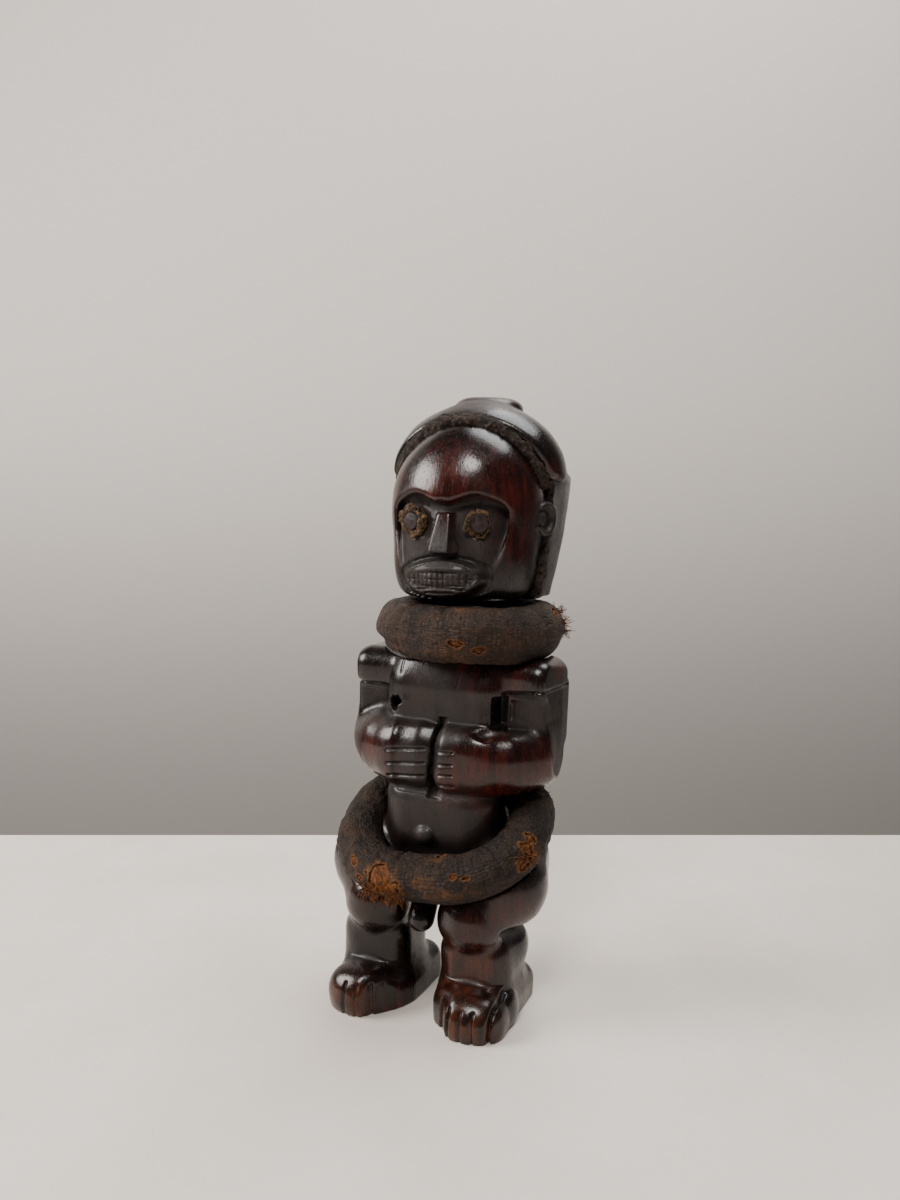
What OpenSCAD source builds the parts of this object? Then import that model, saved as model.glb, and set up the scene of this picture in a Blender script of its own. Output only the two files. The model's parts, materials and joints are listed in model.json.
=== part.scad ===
// Carved hardwood fertility doll with two stuffed skin rings.
// The figure faces -Y, its left hand is at +X, and it stands on z = 0.

/* [Figure] */
// Height of the skull's ball over the ground
skull_z = 215; // [214:0.5:216]
// Half width of the skull over the temples
skull_half_w = 34.5; // [33.5:0.5:35]
// Half depth of the skull, from its centre to the forehead
skull_half_d = 29; // [28:0.5:30]
// How far the head is set back from the middle of the figure
head_y = 5; // [3:0.5:7]
// Sideways lean of the whole figure, in degrees
lean = 1.7; // [0:0.1:2.2]
// Half width of the body over the shoulders
shoulder_half_w = 48; // [46.5:0.5:49]
// Height of the flat tops of the shoulders
shoulder_z = 148.4; // [147:0.2:148.6]
// Radius of the neck
neck_r = 13.5; // [12.5:0.5:13.5]
// Half width of the waist inside the lower ring
waist_half_w = 25; // [22:0.5:25.5]

/* [Neck ring] */
// Radius of the neck ring's centre line
neck_ring_r = 28.8; // [28.5:0.1:29]
// Radius of the stuffed skin tube at the neck
neck_tube_r = 12; // [11:0.1:12.2]
// Height of the neck ring's middle
neck_ring_z = 161.8; // [161.6:0.1:162]
// How far the neck ring hangs towards the figure's left
neck_ring_x = 2.5; // [0:0.5:3]
// How far the neck ring can be turned each way, in degrees
neck_turn = 25; // [10:1:40]

/* [Waist ring] */
// Radius of the waist ring's rounded ends, on the centre line
waist_bend_r = 31; // [30.5:0.1:31.5]
// Half length of the waist ring's straight front and back
waist_straight = 8; // [7:0.5:8.5]
// Radius of the stuffed skin tube at the waist
waist_tube_r = 10; // [9:0.1:10.2]
// Height of the waist ring's middle
waist_ring_z = 76.5; // [76:0.5:77.5]
// How far the waist ring dips to the front, in degrees
waist_dip = 27.5; // [25:0.5:29]
// How far the waist ring hangs down on the figure's right side, in degrees
waist_roll = 5; // [0:0.5:6]
// How far the front of the waist ring can be lifted, in degrees
waist_lift = 8; // [4:1:9]

/* [Skins] */
// Thickness of the dried skin
skin_t = 1.1; // [0.8:0.1:1.4]
// Gap between a skin and its stuffing
stuffing_gap = 0.1; // [0.05:0.05:0.3]

/* [Eyes and hairline] */
// Radius of an eye's bed of resin
eye_bed_r = 6.6; // [6:0.1:6.8]
// Radius of an eye's inlaid disc
eye_disc_r = 3.8; // [3:0.1:4]
// Width of the resin band along the hairline
band_w = 4.6; // [3.6:0.2:5]

/* [Hidden] */

// Places on the head, measured from the figure's own middle plane.
face_y = head_y - skull_half_d;
jaw_z = 175.8;
eye_z = 209;
eye_x = 15.5;
eye_y = face_y + 5.6;
bed_t = 2.4;
disc_t = 1.8;
shelf_z = 219;
band_r = skull_half_w + 0.4;
band_t = 2.4;
band_centre_z = 219.5;
band_y = head_y + 4;
band_tilt = 20;
band_leg = 11;
groove_gap = 0.15;

// Middle of the whole object's outline, seen from above.
middle_x = 3.05;
middle_y = 5.37;

// Places on the body.
hand_z = 110;
foot_x = 23.5;
toe_y = -46;
ankle_z = 17;
leg_gap = 3;
waist_ring_y = -10.5;

// Threads and frayed fibres of the rings.
thread_r = 0.45;
seam_angle = 225;
stitch_step = 15;
fibre_r = 0.45;
ring_gap = 1.3;

// Corners in a full turn of the large and the small curves of the figure.
large_fn = 22;
small_fn = 14;

// An ellipsoid with half sizes r, centred at a point.
module egg(r, at, fn = small_fn) {
    translate(at) scale(r) sphere(1, $fn = fn);
}

// The same child on both sides of the middle plane.
module both_sides() {
    children();
    mirror([1, 0, 0]) children();
}

// Tips a child with the whole figure, and centres the object over the origin.
module leaned() {
    translate([-middle_x, -middle_y, 0]) rotate([0, lean, 0]) children();
}

// One leg: flat foot, ankle, calf bulge and a thigh bent forward.
module leg() {
    hull() {
        egg([11, 10, 10], [foot_x, toe_y + 10, 4]);
        egg([8, 9, 7], [foot_x - 7.5, toe_y + 9.5, 2]);
        egg([8, 9, 7], [foot_x + 8, toe_y + 11, 2]);
        egg([15, 16, 11], [foot_x + 1, -12, 7]);
        egg([13, 10, 11], [foot_x + 2, 6, 5]);
    }
    hull() {
        egg([15.5, 16, 10], [foot_x, -14, ankle_z]);
        egg([16.5, 17, 10], [foot_x, -14, 31]);
    }
    hull() {
        egg([15.5, 15, 11], [foot_x - 1, -19, 37]);
        egg([15.5, 12, 13], [foot_x - 1, -28, 45], large_fn);
        egg([19, 18, 15], [foot_x + 5.5, -13, 56], large_fn);
        egg([20, 19, 12], [foot_x, 5, 64], large_fn);
    }
}

// Short grooves that part the toes.
module toe_grooves() {
    for (i = [-1.5 : 1 : 1.5])
        translate([foot_x + i * 5.2, toe_y - 4, -5])
            rotate([0, 0, -i * 3])
                cube([0.9, 14, 17]);
}

// Hips, round belly, chest and back, with the navel and the boss between the thighs.
module trunk() {
    hull() {
        egg([36, 23, 11], [0, -2, 62], large_fn);
        egg([waist_half_w, 17, 8], [0, -9, 72], large_fn);
    }
    hull() {
        egg([waist_half_w, 17, 8], [0, -9.5, 72], large_fn);
        egg([waist_half_w + 1, 17, 8], [0, -9, 93], large_fn);
    }
    hull() {
        egg([waist_half_w + 1, 17, 8], [0, -9, 95], large_fn);
        egg([28, 20, 6], [0, -2, 112], large_fn);
        egg([28, 20, 10], [0, 0, 138], large_fn);
    }
    egg([4.6, 3, 3.4], [0, -26, 77]);
    hull() {
        egg([6, 6, 6], [0, -20, 56]);
        egg([5.5, 6, 6], [0, -30, 45]);
    }
}

// Square shoulder, upper arm and the fat forearm that lies across the belly.
module arm() {
    hull() {
        egg([11, 14, 8], [shoulder_half_w - 11, 2, shoulder_z - 8]);
        egg([11, 14, 8], [16, 0, shoulder_z - 8]);
        egg([10, 15, 9], [shoulder_half_w - 10.5, 2, 134]);
    }
    hull() {
        egg([9, 14, 10], [shoulder_half_w - 10, 3, 134]);
        egg([11, 15, 13], [shoulder_half_w - 10, 2, hand_z + 1]);
    }
    hull() {
        egg([12, 15, 14], [shoulder_half_w - 10.5, -1, hand_z], large_fn);
        egg([12, 13, 14.5], [22, -15, hand_z - 0.5], large_fn);
        egg([8, 7, 15], [9.6, -19, hand_z]);
    }
}

// Cuts between the fingers of both hands, and the line where the hands meet.
module finger_grooves() {
    for (i = [-1 : 1])
        translate([0, -27, hand_z + 1 + i * 5.2])
            rotate([0, 90, 0])
                cylinder(r = 1, h = 32, center = true, $fn = 8);
    translate([0, -26, hand_z])
        rotate([0, 0, 45])
            cube([3.4, 3.4, 36], center = true);
}

// The tall ball of the skull run down into the jaw, flat under the chin.
module skull() {
    difference() {
        hull() {
            egg([skull_half_w, skull_half_d, 38], [0, head_y, skull_z], large_fn);
            egg([skull_half_w - 5.5, skull_half_d - 3, 16], [0, head_y - 2, 187], large_fn);
        }
        translate([0, 0, jaw_z - 25]) cube([120, 120, 50], center = true);
        face_hollow();
    }
}

// The hollow under the brow, cut back on each side of the nose.
module face_hollow() {
    both_sides() hull() {
        egg([10.5, 8, 8], [13, face_y - 1, eye_z + 1]);
        egg([9, 6, 6], [12, face_y - 0.5, 197]);
    }
}

// The straight wedge of the nose and the heavy mouth with its rows of teeth.
module nose_and_mouth() {
    hull() {
        translate([-2.4, face_y, 211]) cube([4.8, 8, 1.5]);
        translate([-5.2, face_y - 2, 195.5]) cube([10.4, 9, 2]);
    }
    difference() {
        egg([17.5, 8.5, 7.4], [0, face_y + 6, 184.8], large_fn);
        for (i = [-1 : 1])
            translate([0, face_y - 2.4, 184.6 + i * 3])
                cube([30, 2.4, 0.7], center = true);
        for (i = [-4 : 4])
            translate([i * 2.9, face_y - 2.4, 184.6])
                cube([0.6, 2.4, 6], center = true);
    }
}

// A small C-shaped ear on each side of the head.
module ear() {
    translate([skull_half_w - 2.6, head_y + 5, 206])
        rotate([0, 90, 0])
            difference() {
                scale([1.8, 1, 1]) cylinder(r = 4.6, h = 4, $fn = 20);
                translate([0, -1.8, 2.2]) scale([1.8, 1, 1]) cylinder(r = 3, h = 3, $fn = 20);
            }
}

// Dressed hair: two smooth wings, a crest on top and a lappet down the nape.
module coiffure() {
    difference() {
        hull() {
            both_sides() egg([18, 19, 26], [19, head_y + 35, 218], large_fn);
            egg([36.5, 17, 24], [0, head_y + 16, 231], large_fn);
            egg([20, 18, 16], [0, head_y + 20, 245]);
        }
        translate([0, 0, shelf_z - 30]) cube([120, 140, 60], center = true);
    }
    hull() {
        both_sides() translate([14, head_y + 16, shelf_z - 1]) cube([18, 34, 6]);
        both_sides() translate([8, head_y + 18, jaw_z]) cube([17, 22, 2]);
    }
    hull() {
        egg([15, 17, 8], [0, head_y + 23, 252]);
        egg([12.5, 12, 3.2], [0, head_y + 24, 262.4]);
    }
}

// An arch over the head with two short legs, between two radii.
module hairline_arch(width, inner, outer) {
    translate([0, band_y, band_centre_z])
        rotate([band_tilt, 0, 0]) {
            rotate([90, 0, 0])
                rotate_extrude(angle = 180, $fn = 72)
                    translate([inner, -width / 2])
                        square([outer - inner, width]);
            both_sides()
                translate([inner, -width / 2, -band_leg])
                    cube([outer - inner, width, band_leg]);
        }
}

// Stands a child in the eye on one side, with its Z along the eye's gaze.
module at_eye(side) {
    leaned()
        translate([side * eye_x, eye_y, eye_z])
            rotate([90, 0, side * 14])
                children();
}

// The bed of resin in an eye socket, with a seat for the disc.
module eye_resin(side) {
    color([0.36, 0.24, 0.13])
        at_eye(side) difference() {
            translate([0, 0, -bed_t / 2]) cylinder(r = eye_bed_r, h = bed_t, $fn = 48);
            cylinder(r = eye_disc_r, h = bed_t, $fn = 48);
        }
}

// The dark disc in an eye, a little domed in front.
module eye_disc(side) {
    color([0.1, 0.07, 0.06])
        at_eye(side) intersection() {
            cylinder(r = eye_disc_r, h = disc_t, $fn = 48);
            translate([0, 0, disc_t - 12]) sphere(12, $fn = 64);
        }
}

// Stands a child in the middle of the neck ring.
module at_neck_ring() {
    leaned() translate([neck_ring_x, head_y, neck_ring_z]) children();
}

// Stands a child in the middle of the waist ring, lifted at the front by an angle.
module at_waist_ring(lift = 0) {
    back_y = waist_bend_r;
    leaned()
        translate([0, waist_ring_y, waist_ring_z])
            rotate([waist_dip, -waist_roll, 0])
                translate([0, back_y, 0])
                    rotate([-lift, 0, 0])
                        translate([0, -back_y, 0])
                            children();
}

// A round ring of tube.
module neck_tube(r) {
    rotate_extrude($fn = 64)
        translate([neck_ring_r, 0])
            circle(r, $fn = 32);
}

// A ring of tube with two half-round ends and a straight front and back.
module waist_tube(r) {
    for (side = [-1, 1]) {
        translate([side * waist_straight, 0, 0])
            rotate([0, 0, side > 0 ? -90 : 90])
                rotate_extrude(angle = 180, $fn = 64)
                    translate([waist_bend_r, 0])
                        circle(r, $fn = 32);
        translate([0, side * waist_bend_r, 0])
            rotate([0, 90, 0])
                cylinder(r = r, h = 2 * waist_straight, center = true, $fn = 32);
    }
}

// Room cut in the wood for both rings, over the whole of their travel.
// The lifted place has a little more room, so that the two cuts never share a surface.
module ring_seats() {
    at_neck_ring() neck_tube(neck_tube_r + ring_gap);
    for (lift = [0, waist_lift])
        at_waist_ring(lift) waist_tube(waist_tube_r + ring_gap + lift * 0.02);
}

module carved_figure() {
    color([0.14, 0.07, 0.05])
        difference() {
            leaned() difference() {
                union() {
                    both_sides() leg();
                    trunk();
                    both_sides() arm();
                    translate([0, head_y, 138]) cylinder(r = neck_r, h = 45, $fn = 40);
                    skull();
                    nose_and_mouth();
                    both_sides() ear();
                    coiffure();
                }
                finger_grooves();
                both_sides() toe_grooves();
                translate([0, 0, 10]) cube([leg_gap, 90, 64], center = true);
                hairline_arch(band_w + 2 * groove_gap, band_r - band_t - groove_gap, band_r + 4);
            }
            for (side = [-1, 1])
                at_eye(side)
                    translate([0, 0, -bed_t / 2 - groove_gap])
                        cylinder(r = eye_bed_r + groove_gap, h = 12, $fn = 32);
            ring_seats();
            translate([0, 0, -20]) cube([200, 200, 40], center = true);
        }
}

// A worn or torn opening through one side of a tube, seen along the tube's own radius.
module tear(length, height) {
    rotate([90, 0, 90])
        linear_extrude(height = 8)
            polygon([[-length / 2, -height / 5], [-length / 6, -height / 2],
                [length / 2, -height / 4], [length / 3, height / 2], [-length / 4, height / 3]]);
}

module neck_ring_skin() {
    color([0.24, 0.18, 0.13])
        at_neck_ring() difference() {
            neck_tube(neck_tube_r);
            neck_tube(neck_tube_r - skin_t);
            for (spot = [[-84, -4, 3.4], [-70, -7, 4], [22, 3, 5]])
                rotate([0, 0, spot[0]])
                    translate([neck_ring_r + neck_tube_r - 5, 0, spot[1]])
                        tear(spot[2], spot[2]);
        }
}

module neck_ring_stuffing() {
    color([0.5, 0.3, 0.14])
        at_neck_ring() neck_tube(neck_tube_r - skin_t - stuffing_gap);
}

// One stitch: a short loop of thread that crosses the seam of a tube.
module stitch() {
    rotate([90, 0, 0])
        rotate_extrude(angle = 180, $fn = 24)
            translate([0.9, 0])
                circle(thread_r, $fn = 16);
}

module neck_ring_seam_thread() {
    color([0.3, 0.2, 0.12])
        at_neck_ring()
            for (turn = [0 : stitch_step : 359])
                rotate([0, 0, turn])
                    translate([neck_ring_r, 0, 0])
                        rotate([0, -seam_angle, 0])
                            translate([neck_tube_r - 0.3, 0, 0])
                                rotate([0, 90, 0])
                                    stitch();
}

// A tuft of stiff fibres that stand along X, each a little apart from the next.
module tuft(rows, length) {
    for (i = [0 : rows - 1], j = [-1 : 1])
        translate([0, j * 1.3, i * 1.3])
            rotate([0, 90 + j * 9 - i * 5, j * 11])
                cylinder(r = fibre_r, h = length + (i + j + 1) % 3, $fn = 16);
}

module neck_ring_frayed_ends() {
    color([0.52, 0.3, 0.14])
        at_neck_ring()
            for (turn = [17, 27])
                rotate([0, 0, turn])
                    translate([neck_ring_r + neck_tube_r + 0.05, 0, turn == 17 ? 4 : -2])
                        tuft(3, 2.6);
}

module waist_ring_skin() {
    color([0.2, 0.15, 0.11])
        at_waist_ring() difference() {
            waist_tube(waist_tube_r);
            waist_tube(waist_tube_r - skin_t);
            for (spot = [[-127, -2, 12], [-22, 2, 9]])
                translate([sign(cos(spot[0])) * waist_straight, 0, 0])
                    rotate([0, 0, spot[0]])
                        translate([waist_bend_r + waist_tube_r - 6, 0, spot[1]])
                            tear(spot[2], 7);
        }
}

module waist_ring_stuffing() {
    color([0.56, 0.34, 0.15])
        at_waist_ring() waist_tube(waist_tube_r - skin_t - stuffing_gap);
}

module waist_ring_seam_thread() {
    color([0.3, 0.2, 0.12])
        at_waist_ring()
            for (side = [-1, 1])
                for (turn = [-75 : stitch_step : 75])
                    translate([side * waist_straight, 0, 0])
                        rotate([0, 0, turn + (side < 0 ? 180 : 0)])
                            translate([waist_bend_r, 0, 0])
                                rotate([0, -seam_angle, 0])
                                    translate([waist_tube_r - 0.3, 0, 0])
                                        rotate([0, 90, 0])
                                            stitch();
}

module waist_ring_frayed_ends() {
    color([0.56, 0.34, 0.15])
        at_waist_ring()
            translate([waist_straight, 0, 0])
                for (turn = [26, 36])
                    rotate([0, 0, turn])
                        translate([waist_bend_r + waist_tube_r + 0.1, 0, turn - 34])
                            tuft(3, 2.6);
}

module hairline_resin() {
    color([0.17, 0.12, 0.09])
        leaned() hairline_arch(band_w, band_r - band_t, band_r);
}

carved_figure();
neck_ring_skin();
neck_ring_stuffing();
neck_ring_seam_thread();
neck_ring_frayed_ends();
waist_ring_skin();
waist_ring_stuffing();
waist_ring_seam_thread();
waist_ring_frayed_ends();
eye_resin(1);  // left_eye_resin
eye_resin(-1);  // right_eye_resin
eye_disc(1);  // left_eye_disc
eye_disc(-1);  // right_eye_disc
hairline_resin();
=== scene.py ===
# %% [markdown]
# # A dark hardwood figure with two stuffed rings
# A carver cut this standing figure from one block of wood, in rounded masses with crisp edges.
# A ring of reptile skin sits loose round its neck, and a ring of crusted hide hangs at its waist.
# Both rings are stuffed with plant fibre, and the eyes and the hairline are set with a crumbly resin.
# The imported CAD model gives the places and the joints, and each step below makes one piece over it.

import json
import math

import bpy
import numpy as np
import openvdb
from mathutils import Matrix, Vector


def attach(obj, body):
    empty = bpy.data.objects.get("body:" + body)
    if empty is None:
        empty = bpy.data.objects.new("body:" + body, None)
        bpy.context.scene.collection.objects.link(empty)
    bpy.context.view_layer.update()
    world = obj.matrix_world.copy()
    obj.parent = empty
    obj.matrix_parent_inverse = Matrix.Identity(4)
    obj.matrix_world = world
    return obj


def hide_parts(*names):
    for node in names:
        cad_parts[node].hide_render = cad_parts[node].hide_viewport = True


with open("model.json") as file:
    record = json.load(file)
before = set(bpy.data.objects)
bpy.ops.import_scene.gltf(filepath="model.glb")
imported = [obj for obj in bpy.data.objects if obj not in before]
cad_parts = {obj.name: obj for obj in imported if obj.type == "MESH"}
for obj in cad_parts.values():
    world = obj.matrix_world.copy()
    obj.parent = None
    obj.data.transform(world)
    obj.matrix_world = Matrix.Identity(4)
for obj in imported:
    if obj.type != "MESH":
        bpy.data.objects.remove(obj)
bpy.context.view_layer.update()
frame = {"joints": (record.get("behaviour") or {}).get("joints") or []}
hinges = {joint["name"]: joint for joint in frame["joints"]}

# %% [markdown]
# The figure leans a little to its left, and the axis that the neck ring turns on shows by how much.
# Shapes below are written in millimetres in the figure's own upright frame.
# One matrix takes them from there to the object's frame in metres.

# %% The figure's own frame
up = Vector(hinges["neck_ring_turn"]["axis"])
neck = Vector(hinges["neck_ring_turn"]["pos_m"]) * 1000
lean = math.atan2(up.x, up.z)
NECK_X, HEAD_Y, NECK_HEIGHT = 2.5, 5.0, 161.8
upright = Matrix.Rotation(lean, 4, "Y")
shift = neck - upright @ Vector((NECK_X, HEAD_Y, NECK_HEIGHT))
to_object = Matrix.Scale(0.001, 4) @ Matrix.Translation(shift) @ upright
print("it leans", round(math.degrees(lean), 2), "degrees")
print("it is moved by", [round(v, 2) for v in shift], "mm")

# %% [markdown]
# The camera stands in front of the figure and a little to its left, near enough for some perspective.
# It looks slightly down, so the top of the plinth shows and the head is seen almost level.

# %% The camera
VIEW_TURN = math.radians(24)
VIEW_FAR = 420.0
VIEW_HEIGHT = 208.9
VIEW_DOWN = math.radians(4.69)
lens = bpy.data.cameras.new("camera")
lens.lens = 28.5
lens.sensor_width = 36
lens.clip_start = 0.01
camera = bpy.data.objects.new("camera", lens)
bpy.context.scene.collection.objects.link(camera)
axis_foot = Vector((shift.x, shift.y, 0))
stand = Vector((VIEW_FAR * math.sin(VIEW_TURN), -VIEW_FAR * math.cos(VIEW_TURN), VIEW_HEIGHT))
camera.location = (axis_foot + stand) / 1000
camera.rotation_euler = (math.pi / 2 - VIEW_DOWN, 0, VIEW_TURN)
bpy.context.scene.camera = camera
print("the camera is at", [round(v, 3) for v in camera.location])

# %% [markdown]
# ## Carving with distances
# The wood has soft swellings that run into each other, and sharp edges where a blade stopped.
# A grid of distances handles both: each small cube stores how far it is outside the shape, in mm.
# Adding a shape takes the smaller distance, cutting takes the larger, and a blend rounds the join.

# %% A block of space to carve in
VOXEL = 0.5


def new_block(low, high, voxel):
    """An empty block of space between two corners."""
    low = np.array(low, np.float32)
    count = np.ceil((np.array(high) - low) / voxel).astype(int) + 1
    return {"low": low, "voxel": voxel, "gap": np.full(count, 9.0, np.float32)}


def window(block, low, high):
    """The part of a block between two corners, and the x, y and z of its cubes."""
    shape = np.array(block["gap"].shape)
    first = np.floor((np.array(low) - block["low"]) / block["voxel"]).astype(int)
    last = np.ceil((np.array(high) - block["low"]) / block["voxel"]).astype(int) + 1
    first, last = np.clip(first, 0, shape), np.clip(last, 0, shape)
    x, y, z = [
        block["low"][i] + block["voxel"] * np.arange(first[i], last[i], dtype=np.float32)
        for i in range(3)
    ]
    part = tuple(slice(a, b) for a, b in zip(first, last))
    return part, x[:, None, None], y[None, :, None], z[None, None, :]


def least(a, b, blend=0.0):
    """The smaller of two distances, with the join rounded over a blend."""
    if not blend:
        return np.minimum(a, b)
    h = np.clip(0.5 + 0.5 * (b - a) / blend, 0, 1)
    return b + (a - b) * h - blend * h * (1 - h)


def most(a, b, blend=0.0):
    """The larger of two distances, with the edge rounded over a blend."""
    return -least(-a, -b, blend)


def add(block, shape, blend=0.0):
    """Joins a shape on."""
    low, high, gap = shape
    part, x, y, z = window(block, low - blend - 3, high + blend + 3)
    block["gap"][part] = least(block["gap"][part], gap(x, y, z), blend)


def cut(block, shape, blend=0.0):
    """Cuts a shape away."""
    low, high, gap = shape
    part, x, y, z = window(block, low - blend - 3, high + blend + 3)
    block["gap"][part] = most(block["gap"][part], -gap(x, y, z), blend)


def raise_by(block, low, high, amount):
    """Lifts the surface between two corners by an amount in mm, or sinks it where that is below 0."""
    part, x, y, z = window(block, low, high)
    block["gap"][part] = block["gap"][part] - amount(x, y, z)
print("each small cube is", VOXEL, "mm wide")

# %% The carver's shapes
def turned(degrees):
    """A turn about X, Y and Z."""
    x, y, z = (math.radians(d) for d in degrees)
    turn = Matrix.Rotation(z, 3, "Z") @ Matrix.Rotation(y, 3, "Y") @ Matrix.Rotation(x, 3, "X")
    return np.array(turn, np.float32)


def own_axes(x, y, z, centre, turn):
    """A point's place along a shape's own three axes."""
    x, y, z = x - centre[0], y - centre[1], z - centre[2]
    if abs(turn - np.eye(3)).max() < 1e-6:
        return x, y, z
    return [turn[0][i] * x + turn[1][i] * y + turn[2][i] * z for i in range(3)]


def egg(centre, radii, turn=(0, 0, 0)):
    """A ball with three radii."""
    centre, radii, turn = np.array(centre, np.float32), np.array(radii, np.float32), turned(turn)
    reach = np.sqrt(((turn * radii) ** 2).sum(1))

    def gap(x, y, z):
        u, v, w = own_axes(x, y, z, centre, turn)
        a, b, c = radii
        near = np.sqrt((u / a) ** 2 + (v / b) ** 2 + (w / c) ** 2)
        slope = np.sqrt((u / a**2) ** 2 + (v / b**2) ** 2 + (w / c**2) ** 2)
        return near * (near - 1) / np.maximum(slope, 1e-4)

    return centre - reach, centre + reach, gap


def block_of(centre, half, rounding, turn=(0, 0, 0)):
    """A brick with rounded edges."""
    centre, half, turn = np.array(centre, np.float32), np.array(half, np.float32), turned(turn)
    reach = (abs(turn) * half).sum(1)

    def gap(x, y, z):
        u, v, w = own_axes(x, y, z, centre, turn)
        u, v, w = abs(u) - half[0] + rounding, abs(v) - half[1] + rounding, abs(w) - half[2] + rounding
        out = np.sqrt(np.maximum(u, 0) ** 2 + np.maximum(v, 0) ** 2 + np.maximum(w, 0) ** 2)
        return out + np.minimum(np.maximum(np.maximum(u, v), w), 0) - rounding

    return centre - reach, centre + reach, gap


def bar(start, end, r_start, r_end):
    """A round bar between two points, with a radius at each end."""
    start, end = np.array(start, np.float32), np.array(end, np.float32)
    along = end - start
    long = float(along @ along)
    r = max(r_start, r_end)

    def gap(x, y, z):
        u, v, w = x - start[0], y - start[1], z - start[2]
        t = np.clip((u * along[0] + v * along[1] + w * along[2]) / long, 0, 1)
        away = (u - t * along[0]) ** 2 + (v - t * along[1]) ** 2 + (w - t * along[2]) ** 2
        return np.sqrt(away) - (r_start + (r_end - r_start) * t)

    return np.minimum(start, end) - r, np.maximum(start, end) + r, gap


def line_gap(u, v, points):
    """How far each place in a flat view is from a line drawn through some points."""
    best = None
    for (u0, v0), (u1, v1) in zip(points, points[1:]):
        du, dv = u1 - u0, v1 - v0
        t = np.clip(((u - u0) * du + (v - v0) * dv) / (du * du + dv * dv), 0, 1)
        gap = np.sqrt((u - u0 - t * du) ** 2 + (v - v0 - t * dv) ** 2)
        best = gap if best is None else np.minimum(best, gap)
    return best


def score(block, points, depth, width, near, far):
    """A line cut into the front, through (x, z) points, between two depths in y."""
    low = [min(p[0] for p in points) - 3 * width, near, min(p[1] for p in points) - 3 * width]
    high = [max(p[0] for p in points) + 3 * width, far, max(p[1] for p in points) + 3 * width]
    raise_by(block, low, high, lambda x, y, z: -depth * np.exp(-((line_gap(x, z, points) / width) ** 2)))


# %% Rough surfaces
def lattice(x, y, z, seed):
    """A random number from 0 to 1 at each whole-number place."""
    x, y, z = (np.asarray(v).astype(np.int64) for v in (x, y, z))
    n = (x * 374761393 + y * 668265263 + z * 2147483647 + seed * 1274126177) & 0xFFFFFFFF
    n = ((n ^ (n >> 13)) * 1274126177) & 0xFFFFFFFF
    n = ((n ^ (n >> 16)) * 2246822519) & 0xFFFFFFFF
    return ((n ^ (n >> 15)) & 0xFFFF).astype(np.float32) / 65535


def lumps(x, y, z, size, seed):
    """Smooth random lumps of about a size in mm, from -1 to 1."""
    x, y, z = (np.asarray(v, np.float32) / size for v in (x, y, z))
    bx, by, bz = np.floor(x), np.floor(y), np.floor(z)
    fx, fy, fz = x - bx, y - by, z - bz
    fx, fy, fz = (f * f * (3 - 2 * f) for f in (fx, fy, fz))
    total = 0
    for i in (0, 1):
        for j in (0, 1):
            for k in (0, 1):
                part = (fx if i else 1 - fx) * (fy if j else 1 - fy) * (fz if k else 1 - fz)
                total = total + part * lattice(bx + i, by + j, bz + k, seed)
    return total * 2 - 1


print("the carver's shapes are ready, at", VOXEL, "mm")

# %% [markdown]
# ## The skull and the dressed hair
# The head is a tall egg run down into a broad jaw that is cut off flat under the chin.
# Behind it is the helmet of dressed hair: its front is a flat, tipped face that stands out past
# the skull on both sides, and below it a narrower lappet hangs down the nape.
# The two are carved apart first, because the resin fills the corner where they meet.

# %% The head's masses
HEAD_LOW, HEAD_HIGH = (-48, -34, 170), (48, 66, 272)
HAIR_TIP = math.radians(20)
CHIN = 175.8


def in_front_of_hair(x, y, z):
    """How far a place is in front of the tipped face of the hair."""
    return -(math.cos(HAIR_TIP) * (y - 10.8) + math.sin(HAIR_TIP) * (z - 219.5)) + 0 * x


skull = new_block(HEAD_LOW, HEAD_HIGH, VOXEL)
add(skull, egg((0, 5, 215), (34.5, 29, 38)))
add(skull, egg((0, 3, 188), (31, 26.5, 24)), 12)
flat = block_of((0, 0, CHIN - 20), (60, 60, 20), 0)
cut(skull, flat, 4)

hair = new_block(HEAD_LOW, HEAD_HIGH, VOXEL)
add(hair, egg((0, 16, 230), (40.5, 28, 32)))
for side in (-1, 1):
    add(hair, egg((side * 18.2, 39.5, 219), (18.0, 18.8, 26)), 10)
add(hair, egg((0, 24, 246), (20, 18, 16)), 8)
add(hair, egg((0, 36, 226), (31, 20, 24)), 8)
under = block_of((0, 40, 200), (70, 60, 26), 0, (-4, 0, 0))
cut(hair, under, 4.5)
part, x, y, z = window(hair, HEAD_LOW, HEAD_HIGH)
tipped_face = in_front_of_hair(x, y, z)
hair["gap"] = most(hair["gap"], tipped_face, 1.6)

lappet = new_block(HEAD_LOW, HEAD_HIGH, VOXEL)
part, x, y, z = window(lappet, HEAD_LOW, HEAD_HIGH)
down = np.clip((230 - z) / 54, 0, 1)
wide = 35.6 - 6.0 * down**1.4 - 3.5 * np.clip((y - 32) / 26, 0, 1) ** 2
back = 56.0 - 12.0 * down**1.3
front = 17.5 - 5.5 * down
lappet["gap"] = most(most(abs(x) - wide, y - back, 11), most(front - y, z - 232, 1), 2) + 0 * x
cut(lappet, block_of((0, 0, CHIN - 20), (60, 90, 20), 0), 1)

crown = new_block(HEAD_LOW, HEAD_HIGH, VOXEL)
add(crown, egg((0, 27, 253), (18.5, 18, 9)))
add(crown, egg((-0.5, 27.5, 261), (15.8, 14, 6)), 4)
cut(crown, block_of((0, 27, 276), (40, 40, 10.3), 0, (2, 1.5, 0)), 1.6)
print("the head's masses are carved")

# %% [markdown]
# The wood is one block: legs, trunk, arms and head. The thighs come forward over heavy calves,
# the forearms lie across the belly until the hands meet, and the shoulders are square.

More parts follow.
